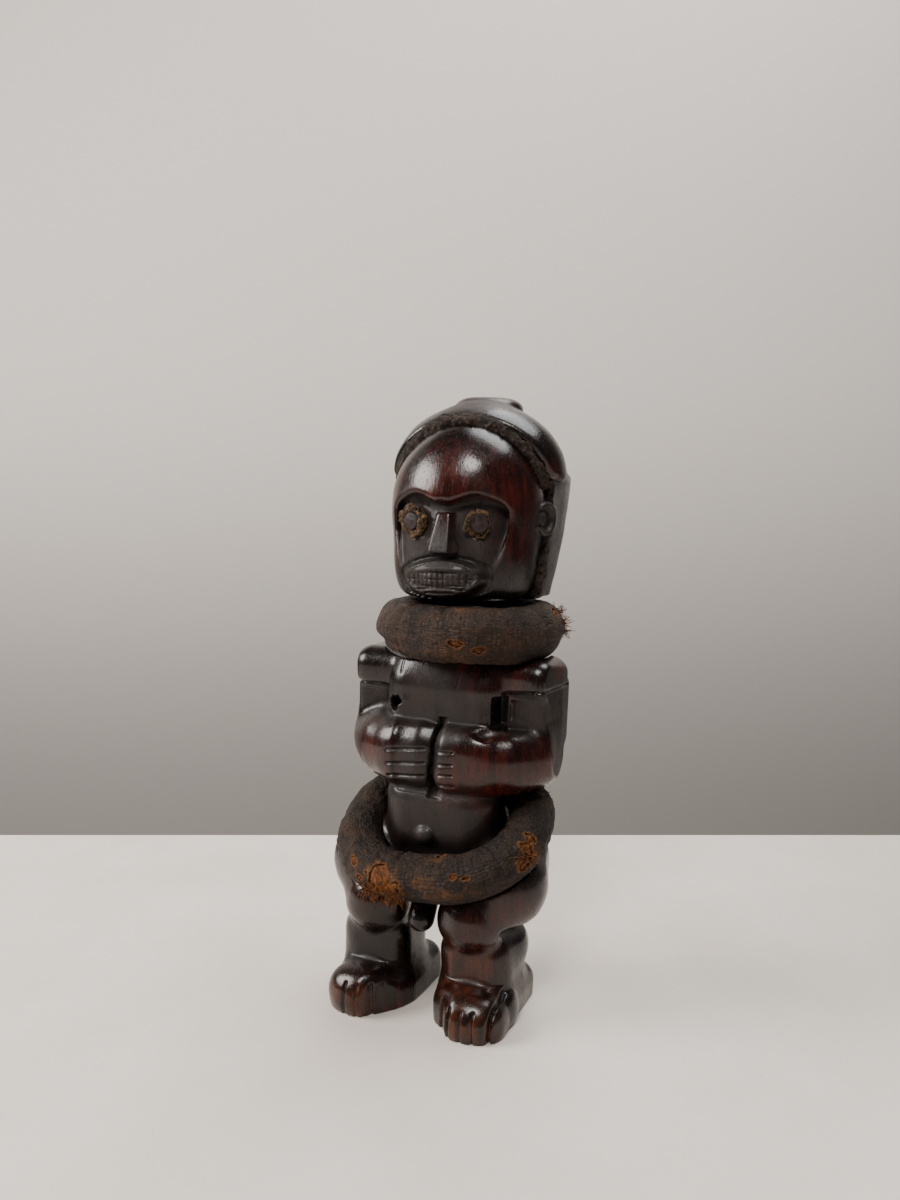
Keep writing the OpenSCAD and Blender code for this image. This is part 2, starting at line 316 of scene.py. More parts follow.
# %% The legs
BODY_LOW, BODY_HIGH = (-56, -56, -4), (56, 66, 270)
wood = new_block(BODY_LOW, BODY_HIGH, VOXEL)
for side, out in ((-1, 3.4), (1, 0.0)):
    add(wood, block_of((side * 22.6, -18, 4.5), (16.8, 27, 11), 8), 0)
    add(wood, egg((side * 24, -36, 6.6), (15.2, 13.4, 11.8)), 5)
    add(wood, block_of((side * (21.8 + out), -16, 22), (15.8, 17, 17), 11), 5)
    add(wood, egg((side * (26 + out), -10, 28), (13.4, 14, 11)), 4)
    add(wood, egg((side * (20.5 + out), -27.0, 42), (14.5, 11.5, 12)), 3.5)
    add(wood, bar((side * 24, 2, 62), (side * (29 + 0.8 * out), -14, 56.5), 19.5, 19), 5)
    add(wood, bar((side * (29 + 0.8 * out), -14, 56), (side * (20.5 + out), -26, 45.5), 18, 13.5), 3.5)
    cut(wood, egg((side * (39 + out), -16, 38), (12, 15, 3.0), (0, side * 18, side * 8)), 2.5)
cut(wood, block_of((-1.2, -46, 6), (14, 13, 42), 3, (0, 0, -38)), 5)
add(wood, egg((0, -2, 63), (36, 21, 14)), 5)
add(wood, egg((0, 10, 82), (36, 17, 24)), 6)
cut(wood, block_of((0, -10, 10), (1.6, 60, 34), 0.5), 3)
add(wood, bar((-1.5, -20, 55), (-1.2, -30.0, 41.0), 6, 5.6), 1.5)
print("the legs are carved")

# %% The trunk and the arms
add(wood, block_of((0, -9.5, 82), (26.5, 16.5, 20), 14), 4)
add(wood, block_of((0, -1.5, 122), (29, 18.8, 27), 12), 5)
add(wood, egg((0, 8, 105), (30, 19, 30)), 8)
arms = new_block((-52, -40, 86), (52, 30, 160), VOXEL)
for side in (-1, 1):
    add(arms, block_of((side * 26.5, 1.0, 142.6), (21.3, 15.4, 9.6), 8.5), 3)
    add(arms, block_of((side * 36.8, 4.0, 128), (10.4, 14.5, 17), 6), 1.0)
    add(arms, egg((side * 36.2, 0.5, 110.5), (13.6, 16.5, 15.2)), 3)
    add(arms, block_of((side * 24.5, -10.8, 109.2), (18, 15.4, 15.6), 14.5, (0, 0, side * 24)), 5)
    add(arms, block_of((side * 11, -17.2, 108.6), (15, 11.8, 15.6), 11, (0, 0, side * 8)), 5)
    part, x, y, z = window(arms, (side * 47 - 12, -40, 90), (side * 47 + 12, 40, 158))
    outer_side = side * x - 46.6 - 0.12 * (y - 6) * (y < 6) * np.clip((z - 116) / 10, -0.4, 1)
    arms["gap"][part] = most(arms["gap"][part], outer_side, 0.6)
part, x, y, z = window(wood, (-51, -39, 87), (51, 29, 159))
fit, _, _, _ = window(arms, (-51, -39, 87), (51, 29, 159))
wood["gap"][part] = least(wood["gap"][part], arms["gap"][fit], 1.2)
add(wood, bar((0, HEAD_Y, 140), (0, HEAD_Y, 184), 13.5, 13.5), 1)
print("the body's masses are carved")

# %% The head joins the wood
part, x, y, z = window(wood, HEAD_LOW, HEAD_HIGH)
same = tuple(slice(0, s.stop - s.start) for s in part)
head = least(least(skull["gap"], hair["gap"], 0.6), least(lappet["gap"], crown["gap"], 0), 0.8)
wood["gap"][part] = least(wood["gap"][part], head[same], 0.5)
print("the block holds", wood["gap"].size, "small cubes")

# %% [markdown]
# The face is hollowed out under the brow, and the nose, the heavy mouth and the ears stand in it.
# The nose is a straight wedge cut off square below, and the mouth is a raised oval:
# a thick upper lip, two rows of square teeth and a double lower lip.

# %% The hollow of the face
FACE_LOW, FACE_HIGH = (-31, -34, 176.5), (31, 2, 224)


def face_hollow(x, y, z):
    """The gap to the space cut away from the face."""
    height = [176, 184, 190, 196, 205, 214, 221]
    wide = np.interp(z, height, [15, 18, 20.5, 22.8, 25, 25.5, 23.5])
    depth = np.interp(z, [176, 186, 195, 209, 216, 223], [-21.8, -21, -20, -18.4, -16.6, -16.4])
    bend = 0.0068 * x**2 + 0.07 * np.maximum(abs(x) - 15, 0) ** 2
    brow = 216.6 + 3.8 * np.exp(-(((abs(x) - 13.5) / 8.5) ** 2))
    outline = most(abs(x) - wide, z - brow, 4)
    return most(y - depth - bend, outline, 4.5)


cut(wood, (np.array(FACE_LOW), np.array(FACE_HIGH), face_hollow), 3.0)
for side in (-1, 1):
    cut(wood, egg((side * 14.8, -20.5, 210), (9.2, 5.6, 8.2), (0, 0, side * 12)), 1.4)
cut(wood, egg((0, -25, 214), (3.2, 6, 4.0)), 2.2)
print("the face is hollowed")

# %% The nose
def nose(x, y, z):
    """The gap to the wedge of the nose."""
    down = np.clip((212.5 - z) / 16, 0, 1)
    front = -20.9 - 5.6 * down
    ridge = 2.5 + 1.9 * down
    foot = 4.0 + 3.0 * down**1.3
    slope = (foot - ridge) / np.maximum(-18.5 - front, 1.5)
    flank = (abs(x) - ridge - (y - front) * slope) / np.sqrt(1 + slope**2)
    return most(most(front - y, flank, 0.7), most(z - 212.5, 196.4 - z, 0.5), 0.5)


add(wood, (np.array((-10, -29, 194)), np.array((10, -14, 214)), nose), 0.8)
for side in (-1, 1):
    add(wood, egg((side * 4.8, -20.0, 198.6), (2.2, 2.6, 2.0)), 2.0)
print("the nose is a wedge with rounded nostrils")

# %% The mouth
MOUTH_Z = 185.6
add(wood, egg((0, -15.5, MOUTH_Z), (18.6, 10.6, 8.8)), 1.6)


def mouth_shape(x, y, z):
    """How much the mouth's rim, lips and teeth stand out or sink."""
    level = z - MOUTH_Z - 0.035 * x
    oval = np.sqrt((x / 17.0) ** 2 + (level / 7.2) ** 2)
    rim = 1.0 * np.exp(-(((oval - 1) * 8.5 / 0.8) ** 2))
    outside = -0.7 * np.clip((oval - 1.06) / 0.12, 0, 1)
    bow = level + 0.005 * x**2
    lip = 0.55 * np.clip(1 - ((bow - 5.0) / 2.5) ** 2, 0, 1) ** 0.6 * (oval < 0.98)
    low_lips = 0.5 * np.cos((bow + 5.2) * 2 * math.pi / 1.9) * (abs(bow + 5.0) < 1.6) * (oval < 0.97)
    teeth_zone = 1 / (1 + np.exp((np.sqrt((x / 14.8) ** 2 + ((level + 0.5) / 3.7) ** 2) - 1) * 14))
    across = np.abs((x / 2.4) % 1 - 0.5) * 2
    between = np.clip((across - 0.72) / 0.28, 0, 1)
    row = np.abs((level + 0.55) / 2.9 % 1 - 0.5) * 2
    rows = np.clip((row - 0.76) / 0.24, 0, 1)
    teeth = -0.75 - 0.95 * np.maximum(between, rows)
    return rim + outside * (oval < 1.35) + lip + low_lips + teeth * teeth_zone


raise_by(wood, (-21, -30, 176.2), (21, -16, 195.5), mouth_shape)
cut(wood, block_of((0, 0, CHIN - 3), (34, 40, 2.2), 0), 0.5)
print("the mouth is centred at a height of", MOUTH_Z, "mm")

# %% The ears
for side in (-1, 1):
    ear = new_block((-44, -6, 200), (44, 24, 223), VOXEL)
    part, x, y, z = window(ear, (-44, -6, 200), (44, 24, 223))
    out, along, rise = side * x - 34.6, y - 7.2, z - 211.5
    turn_out = along * 0.20
    ring = np.sqrt((along / 7.4) ** 2 + (rise / 7.2) ** 2)
    helix = np.sqrt(((ring - 0.86) * 7.2) ** 2 + ((out - turn_out - 0.3) / 1.5) ** 2) - 1.25
    helix = helix + 6 * np.clip((-along - 3.2) / 3, 0, 1) * (abs(rise) < 4)
    dish = most((ring - 0.9) * 7.0, abs(out - turn_out + 1.2) - 1.2, 0.8)
    lobe = np.sqrt((along + 3.4) ** 2 + (rise / 1.6) ** 2 + out**2) - 1.9
    ear["gap"][part] = least(least(helix, dish, 0.8), lobe, 0.8)
    whole, x, y, z = window(wood, (-44, -6, 200), (44, 24, 223))
    fit = tuple(slice(0, s.stop - s.start) for s in whole)
    wood["gap"][whole] = least(wood["gap"][whole], ear["gap"][fit], 0.5)
print("the face and the ears are carved")

# %% [markdown]
# Then the smaller cuts: the hands with their fingers, the scooped edge of the forearm, the hole at
# one armpit and the slot at the other, the step under the shoulders, the navel and the toes.

# %% The arms and the hands
cut(wood, bar((9.0, -30.0, 127.0), (24, -25.5, 124.4), 4.0, 5.2), 0.8)
cut(wood, bar((24, -25.5, 124.4), (40, -15, 126.5), 5.2, 3.6), 0.8)
cut(wood, block_of((25.4, -15, 130), (2.3, 8, 6.6), 0.8), 0.5)
cut(wood, block_of((37.5, -13.6, 130.4), (9.6, 2.6, 7.6), 0.8, (0, -3, 3)), 0.5)
score(wood, [(27.0, 138.0), (49.5, 140.2)], 1.0, 0.6, -24, 14)
score(wood, [(-49.5, 136.6), (-27, 135.6)], 1.0, 0.7, -24, 14)


def ragged_hole(x, y, z):
    """The gap to the rough hole at the armpit."""
    ball = np.sqrt(((x + 22.5) / 3.4) ** 2 + ((y + 17.5) / 5) ** 2 + ((z - 129.8) / 3.4) ** 2)
    return (ball - 1) * 4.4 + 1.9 * lumps(x, y, z, 3.2, 3) + 1.2 * lumps(x, y, z, 1.5, 4)


cut(wood, (np.array((-32, -27, 120)), np.array((-13, -5, 139)), ragged_hole), 0.3)
raise_by(
    wood, (-33, -27, 119), (-11, -8, 140),
    lambda x, y, z: 0.7 * lumps(x, y, z, 2.4, 5) * np.exp(-(((x + 22) / 6) ** 2) - ((z - 129) / 6) ** 2),
)


def where_hands_meet(x, y, z):
    """The sloped cut between the hands, deepest along its left side."""
    up_hand = np.clip((z - 93) / 30, 0, 1)
    left, right = -2.4 + 3.0 * up_hand, 4.6
    across = (right - x) / (right - left)
    slope = np.where((across > 0) & (across < 1.0), across, 0)
    return -2.4 * slope - 0.8 * np.exp(-(((x - left) / 0.6) ** 2))


raise_by(wood, (-6, -38, 92), (7, -18, 126), where_hands_meet)


def right_hand(x, y, z):
    """The hand that is set back a little from its forearm."""
    inside = 1 / (1 + np.exp(-(x + 17.5) * 2.2)) * (x < 1.5) * 1 / (1 + np.exp((z - 121) * 1.2))
    return -0.8 * inside


raise_by(wood, (-24, -38, 93), (2, -18, 126), right_hand)
for height in (112.4, 106.4, 100.8):
    score(wood, [(-20.5, height - 1.2), (-3.0, height + 1.0)], 1.15, 0.5, -38, -16)
for height in (113.2, 108.0, 103.4, 98.8):
    score(wood, [(4.4, height - 0.2), (10.5, height + 0.3)], 1.0, 0.45, -38, -16)
print("the arms and the hands are cut")

# %% The chest, the belly and the feet
add(wood, egg((1.0, -13.2, 144.0), (24, 5.4, 12)), 5.0)
score(wood, [(-19.5, 153), (-19.0, 143)], 0.4, 0.5, -24, -8)
add(wood, egg((-2.8, -25.2, 75.4), (5.0, 3.2, 4.4)), 0.8)
TOES = {-1: (-11.5, -6.2, -1.2, 4.0), 1: (-9.5, -4.2, 1.0, 6.0)}
for side in (-1, 1):
    for spread in TOES[side]:
        points = [(side * (24 + spread * 1.05), -3), (side * (24 + spread * 0.98), 13.0)]
        score(wood, points, 1.15, 0.6, -56, -39)
score(wood, [(36.0, -3), (36.6, 16)], 1.8, 0.7, -48, -28)
add(wood, egg((37.0, -25, 6.5), (4.2, 9.0, 9.0)), 0.6)
print("each foot has", len(TOES[1]), "cuts between its toes")

# %% Blade marks and wear
def hand_made(x, y, z):
    """Slow unevenness from the blade and from long handling."""
    return 0.35 * lumps(x, y, z, 17, 11) + 0.16 * lumps(x, y, z, 7, 12)


raise_by(wood, (-56, -56, -4), (56, 66, 270), hand_made)
print("the surface is uneven by hand")

# %% [markdown]
# The rings need room. Their seats are cut out of the wood over the whole of their travel,
# so that they turn and lift without touching it. The neck ring turns, and the waist ring swings up.

# %% Room for the rings
NECK_RING_R, NECK_TUBE_R = 28.8, 12.0
WAIST_BEND_R, WAIST_STRAIGHT, WAIST_TUBE_R = 31.0, 8.0, 10.0
WAIST_DIP, WAIST_ROLL = math.radians(27.5), math.radians(5)
WAIST_LIFT = math.radians(hinges["waist_ring_lift"]["range_deg"][1])
neck_frame = Matrix.Translation((NECK_X, HEAD_Y, NECK_HEIGHT))
waist_frame = (
    Matrix.Translation((0, -10.5, 76.5))
    @ Matrix.Rotation(-WAIST_ROLL, 4, "Y")
    @ Matrix.Rotation(WAIST_DIP, 4, "X")
)


def lifted(angle):
    """The waist ring's frame when its front is lifted by an angle."""
    hinge = Matrix.Translation((0, WAIST_BEND_R, 0))
    return waist_frame @ hinge @ Matrix.Rotation(-angle, 4, "X") @ hinge.inverted()


def ring_gap(x, y, z, place, bend_r, straight):
    """How far a point is from the middle line of a ring."""
    m = place.inverted()
    u, v, w = [m[i][0] * x + m[i][1] * y + m[i][2] * z + m[i][3] for i in range(3)]
    round_part = np.sqrt(np.maximum(abs(u) - straight, 0) ** 2 + v**2)
    return np.sqrt((round_part - bend_r) ** 2 + w**2)


ROOM = 0.8
part, x, y, z = window(wood, (-46, -40, 146), (46, 50, 178))
seat = ring_gap(x, y, z, neck_frame, NECK_RING_R, 0)
wood["gap"][part] = most(wood["gap"][part], NECK_TUBE_R + ROOM - seat, 0)
part, x, y, z = window(wood, (-52, -56, 40), (52, 40, 118))
for share in (0, 0.5, 1):
    seat = ring_gap(x, y, z, lifted(share * WAIST_LIFT), WAIST_BEND_R, WAIST_STRAIGHT)
    wood["gap"][part] = most(wood["gap"][part], WAIST_TUBE_R + ROOM - seat, 0)

part, x, y, z = window(wood, (-56, -56, -4), (56, 66, 4))
ground = math.sin(lean) * x - math.cos(lean) * z
wood["gap"][part] = most(wood["gap"][part], ground, 0.6)
print("the seats are cut and the soles are flat")


# %% From a block of space to a mesh
def surface(block):
    """The points, in the figure's own mm, and the four-sided faces of a block's surface."""
    grid = openvdb.FloatGrid(9.0)
    grid.copyFromArray(np.ascontiguousarray(block["gap"]))
    points, quads = grid.convertToQuads(0.0)
    points = np.array(points, np.float64) * block["voxel"] + block["low"]
    quads = np.array(quads, np.int32)
    a, b, c, d = (points[quads[:, i]] for i in range(4))
    if (a * np.cross(c - a, d - b)).sum() < 0:
        quads = quads[:, ::-1]
    return points, quads


def new_mesh(name, points, faces, place=to_object, smooth=True):
    """An object from points in mm and faces that all have as many corners."""
    name = name.replace(" ", "_")
    place = np.array(place)
    points = np.asarray(points) @ place[:3, :3].T + place[:3, 3]
    faces = np.asarray(faces, np.int32)
    mesh = bpy.data.meshes.new(name)
    mesh.vertices.add(len(points))
    mesh.vertices.foreach_set("co", points.astype(np.float32).ravel())
    mesh.loops.add(faces.size)
    mesh.loops.foreach_set("vertex_index", faces.ravel())
    mesh.polygons.add(len(faces))
    mesh.polygons.foreach_set("loop_start", np.arange(0, faces.size, faces.shape[1], dtype=np.int32))
    mesh.polygons.foreach_set("use_smooth", np.full(len(faces), smooth))
    mesh.update(calc_edges=True)
    mesh.validate()
    made = bpy.data.objects.new(name, mesh)
    bpy.context.scene.collection.objects.link(made)
    return made


def fewer_faces(piece, most_triangles):
    """Joins faces where the surface is flattest, until the piece is light enough."""
    triangles = sum(len(p.vertices) - 2 for p in piece.data.polygons)
    if triangles > most_triangles:
        piece.modifiers.new("fewer", "DECIMATE").ratio = most_triangles / triangles
        apply_modifiers(piece)
    print(piece.name, "has", sum(len(p.vertices) - 2 for p in piece.data.polygons), "triangles")
    return piece


def apply_modifiers(piece):
    """Fixes a piece's modifiers into its mesh."""
    seen = piece.evaluated_get(bpy.context.evaluated_depsgraph_get())
    mesh = bpy.data.meshes.new_from_object(seen)
    piece.modifiers.clear()
    piece.data = mesh


def corners(piece):
    """The places of a piece's vertices, in the figure's own mm."""
    co = np.empty(len(piece.data.vertices) * 3, np.float32)
    piece.data.vertices.foreach_get("co", co)
    back = np.array(to_object.inverted())
    return co.reshape(-1, 3) @ back[:3, :3].T + back[:3, 3]


def paint(piece, name, values):
    """Keeps a number from 0 to 1 at each vertex, for the finish to use."""
    layer = piece.data.attributes.new(name, "FLOAT", "POINT")
    layer.data.foreach_set("value", np.clip(values, 0, 1).astype(np.float32))


figure = fewer_faces(new_mesh("carved figure", *surface(wood)), 185_000)
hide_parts("carved_figure")
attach(figure, "figure")

# %% [markdown]
# Long handling polished what stands out and left dirt in what lies back: there the finish is rougher, and
# its colour is darkened as painted shade.
# A blurred copy of the distances tells the two apart: it is high over edges and low in corners.

# %% Where the wood is rubbed, and where dirt and painted shade lie
def blurred(gap, rounds):
    """Averages each place with its six neighbours, some number of times."""
    for _ in range(rounds):
        for axis in range(3):
            gap = (np.roll(gap, 1, axis) + gap * 2 + np.roll(gap, -1, axis)) / 4
    return gap


def sampled(field, low, step, at):
    """Reads a field at places between its cubes."""
    place = (at - low) / step
    base = np.clip(np.floor(place).astype(int), 0, np.array(field.shape) - 2)
    part = np.clip(place - base, 0, 1)
    total = 0
    for i in (0, 1):
        for j in (0, 1):
            for k in (0, 1):
                share = 1
                for axis, side in enumerate((i, j, k)):
                    share = share * (part[:, axis] if side else 1 - part[:, axis])
                total = total + share * field[base[:, 0] + i, base[:, 1] + j, base[:, 2] + k]
    return total


step = max(1, round(1.5 / VOXEL))
coarse = np.clip(wood["gap"][::step, ::step, ::step], -3, 3)
at = corners(figure)
stands_out = sampled(blurred(coarse, 4) - coarse, wood["low"], VOXEL * step, at)
paint(figure, "rubbed", 0.5 + stands_out * 0.9)
# The hollow mask darkens the hollows in the finish as painted shade, and makes them rougher like dirt.
paint(figure, "hollow", -stands_out * 1.6)


def patch(at, places):
    """A number near 1 inside soft balls, each a centre, a radius and a strength."""
    total = np.zeros(len(at))
    for x, y, z, r, strength in places:
        away = np.sqrt((at[:, 0] - x) ** 2 + (at[:, 1] - y) ** 2 + (at[:, 2] - z) ** 2)
        total = np.maximum(total, strength * np.clip(1.5 - away / r, 0, 1))
    return total


RED = [
    (0, -24, 226, 15, 1), (24, -10, 222, 13, 0.9), (-27, -8, 222, 10, 0.8), (26, -8, 202, 9, 0.8),
    (-28, -6, 195, 9, 0.6), (16, -16, 240, 9, 0.35), (-27, -18, 108, 12, 1), (24, -24, 105, 14, 1),
    (42, -12, 108, 10, 0.9), (8, -27, 97, 8, 0.9), (38, 8, 229, 6, 0.8), (12, -20, 146, 8, 0.6),
    (30, -14, 143, 9, 0.5), (28, -32, 46, 16, 0.5), (40, -24, 47, 10, 0.9), (-30, -28, 48, 14, 0.35),
    (22, -34, 28, 14, 0.4), (46, 2, 148, 6, 0.6), (10, 20, 264, 4, 0.8), (-10, -22, 148, 6, 0.5),
]
WORN = [
    (24, -49, 2, 13, 1), (38, -42, 3, 8, 0.8), (-26, -48, 2, 12, 0.9), (-6, -34, 0, 9, 0.7),
    (22, -33, 24, 14, 0.45), (36, -12, 12, 10, 0.3), (-2, -16, 1, 9, 0.6),
]
DUSTY = [
    (13, -18, 203, 10, 0.9), (-13, -18, 202, 10, 0.9), (18, -15, 195, 7, 0.9), (-18, -15, 195, 7, 0.8),
    (15, -17, 211, 9, 1), (-15, -17, 211, 9, 1), (36, 6, 211, 8, 0.8), 
    (-22, -12, 130, 8, 0.9), (-25, -16, 126, 8, 0.6), (0, -24, 84, 22, 0.5), (0, -20, 133, 16, 0.3),
    (36, -12, 130, 8, 0.6),
    (0, 14, 259, 12, 0.5), (35, 16, 200, 10, 0.6), (-35, 16, 200, 10, 0.6), (33, 18, 184, 10, 0.5),
    (6, -24, 123, 8, 0.4), (-8, -26, 106, 9, 0.5), (0, -18, 178, 16, 0.3),
    (0, -26, 186, 17, 0.7), (-7, -26, 186, 10, 0.6), (7, -26, 186, 10, 0.6),
]
paint(figure, "red", patch(at, RED))
paint(figure, "worn", patch(at, WORN))
paint(figure, "dusty", patch(at, DUSTY))
print("rubbed", np.percentile(stands_out, [5, 50, 95]).round(2))

# %% [markdown]
# ## The eyes and the resin
# Each eye is a dark seed, a shallow lens pressed into a bed of resin.
# The resin was soft when it was put in and has since dried and crumbled, so its surface is all grains.
# It also fills the corner along the hairline, from one temple over the top to the other and down.

# %% The seeds of the eyes
EYE_X, EYE_Y, EYE_Z = 15.5, -18.4, 209.0
EYE_TURN = math.radians(14)


def eye_place(side):
    """An eye's own frame, with Z along its gaze."""
    turn = Matrix.Rotation(side * EYE_TURN, 4, "Z") @ Matrix.Rotation(math.pi / 2, 4, "X")
    return Matrix.Translation((side * EYE_X, EYE_Y, EYE_Z)) @ turn


def lens_points(radius, thick, rim):
    """A round lens from its middle out to a rim and round the edge to its back."""
    rings, around = [], 64
    profile = [(radius * i / 10, thick * (1 - 0.22 * (i / 10) ** 2)) for i in range(10)]
    profile += [(radius * 0.95, thick * 0.79 + rim), (radius, thick * 0.7 + rim * 0.6), (radius, -0.2)]
    for r, height in profile:
        for a in np.linspace(0, 2 * math.pi, around, endpoint=False):
            dent = 0.05 * math.sin(3 * a + r) * r / radius
            rings.append((r * math.cos(a) + 1e-5 * math.cos(a), r * math.sin(a), height + dent))
    faces = []
    for k in range(len(profile) - 1):
        here, next_ring = k * around, (k + 1) * around
        for i in range(around):
            j = (i + 1) % around
            faces.append((here + i, next_ring + i, next_ring + j, here + j))
    return np.array(rings), faces


seeds = []
for side, rim in ((-1, 0.0), (1, 0.35)):
    cad = "right_eye_disc" if side < 0 else "left_eye_disc"
    points, faces = lens_points(3.75, 1.8, rim)
    label = "seed of the eye on the " + ("left" if side > 0 else "right")
    seed = new_mesh(label, points, faces, to_object @ eye_place(side))
    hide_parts(cad)
    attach(seed, "figure")
    seeds.append(seed)
print("two seeds", 7.5, "mm across")

# %% The resin round the eyes
beds = []
for side in (-1, 1):
    bed = new_block((side * 15.5 - 11, -26, 199), (side * 15.5 + 11, -9, 219), 0.3)
    part, x, y, z = window(bed, (-40, -30, 190), (40, 0, 230))
    back = eye_place(side).inverted()
    u, v, w = [back[i][0] * x + back[i][1] * y + back[i][2] * z + back[i][3] for i in range(3)]
    flat_r = np.sqrt(u**2 + v**2)
    grains = 0.75 * lumps(x, y, z, 2.2, 31) + 0.45 * lumps(x, y, z, 1.0, 32)
    if side < 0:
        heap = np.exp(-(((u + 1.0) / 6) ** 2) - ((v - 4.6) / 2.6) ** 2) * 1.5
        heap = heap + np.exp(-(((u - 4.6) / 2.4) ** 2) - ((v + 0.2) / 4.5) ** 2) * 1.5
        heap = heap + np.exp(-(((u + 5.2) / 1.6) ** 2) - ((v - 1.0) / 3.5) ** 2) * 0.8
    else:
        heap = np.exp(-(((u + 5.6) / 2.0) ** 2) - ((v + 0.5) / 5.0) ** 2) * 2.4 - 0.7
        heap = heap + np.exp(-(((u - 4.5) / 2.5) ** 2) - ((v - 4.0) / 2.0) ** 2) * 0.4
    far_side = 0.45 * np.clip(u + 1, 0, 8) * (side > 0)
    bed["gap"] = most(flat_r - 6.8 + far_side + grains * 1.7, w - 0.45 - heap + grains * 0.7, 0.6)
    bed["gap"] = most(bed["gap"], -w - 1.3, 0.2)
    bed["gap"] = most(bed["gap"], np.where(w > -0.2, 3.9 - flat_r, -3), 0.2)
    cad = "right_eye_resin" if side < 0 else "left_eye_resin"
    made = new_mesh("resin of the eye on the " + ("left" if side > 0 else "right"), *surface(bed))
    fewer_faces(made, 14_000)
    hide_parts(cad)
    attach(made, "figure")
    beds.append(made)
print("resin beds at both eyes")

# %% The resin along the hairline
fine = 0.4
behind = least(hair["gap"], lappet["gap"], 0.6)
line = new_block(HEAD_LOW, HEAD_HIGH, VOXEL)
part, x, y, z = window(line, HEAD_LOW, HEAD_HIGH)
grains = 0.7 * lumps(x, y, z, 3.6, 41) + 0.55 * lumps(x, y, z, 1.7, 42) + 0.3 * lumps(x, y, z, 1.0, 43)
near_both = most(skull["gap"] - 4.0, behind - 3.4, 1.0) + 1.3 * grains
fillet = most(least(skull["gap"], behind, 11) + 0.8 * grains, near_both, 0.5)
line["gap"] = most(most(fillet, -skull["gap"] - 0.8, 0.3), -behind - 0.8, 0.3)
line["gap"] = most(line["gap"], CHIN + 1.5 - z + 0 * x + 0 * y, 0.3)
hairline = fewer_faces(new_mesh("resin along the hairline", *surface(line)), 60_000)
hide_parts("hairline_resin")
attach(hairline, "figure")
print("the resin along the hairline is", len(hairline.data.polygons), "faces")

# %% [markdown]
# ## The two stuffed rings
# Each ring is a tube of skin sewn round a rope of plant fibre. It has the slow bulges of a stuffed
# thing, folds across it where it bends, and openings worn through it that show the fibre.
# The surface is worked out over a grid that runs along the ring and round the tube.

# %% A stuffed tube
def tube_grid(bend_r, straight, along, around):
    """Places along a ring and round its tube: the middle line, the outward way, and the angle."""
    length = 2 * math.pi * bend_r + 4 * straight
    s = np.arange(along) / along * length
    quarter = math.pi * bend_r / 2
    start = s - quarter
    middle, out = np.zeros((along, 3)), np.zeros((along, 3))
    for i, t in enumerate(start):
        if t < quarter:
            a, cx = t / bend_r, straight
        elif t < quarter + 2 * straight:
            a, cx = math.pi / 2, straight - (t - quarter)
        elif t < 3 * quarter + 2 * straight:
            a, cx = (t - 2 * straight) / bend_r, -straight
        else:
            a, cx = 3 * math.pi / 2, -straight + (t - 3 * quarter - 2 * straight)
        out[i] = (math.cos(a), math.sin(a), 0)
        middle[i] = (cx + bend_r * out[i][0], bend_r * out[i][1], 0)
    v = np.arange(around) / around * 2 * math.pi
    return middle[:, None, :], out[:, None, :], s[:, None], v[None, :]


def tube_faces(along, around):
    """Four-sided faces over a closed grid."""
    i, j = np.meshgrid(np.arange(along), np.arange(around), indexing="ij")
    i, j = i.ravel(), j.ravel()
    right, above = (i + 1) % along, (j + 1) % around
    return np.stack([i * around + j, right * around + j, right * around + above, i * around + above], 1)


def tube_points(middle, out, v, r):
    """The points of a tube whose radius changes over its grid."""
    axis = np.array((0, 0, 1.0))
    way = np.cos(v)[..., None] * out + np.sin(v)[..., None] * axis
    return middle + way * r[..., None], way


def hole_mask(places, s, v, length, r, points, seed):
    """Above 0 inside worn openings, each a place along the ring, an angle, a length and a height in mm."""
    x, y, z = (points[..., i] for i in range(3))
    ragged = 0.32 * lumps(x, y, z, 2.6, seed) + 0.22 * lumps(x, y, z, 1.2, seed + 1)
    best = np.full(np.broadcast(s, v).shape, -9.0)
    for share, angle, long, high in places:
        ds = (s - share * length + length / 2) % length - length / 2
        dv = (v - math.radians(angle) + math.pi) % (2 * math.pi) - math.pi
        best = np.maximum(best, 1 - np.sqrt((ds / long * 2) ** 2 + (dv * r / high * 2) ** 2))
    return best + ragged * (best > -1.5)


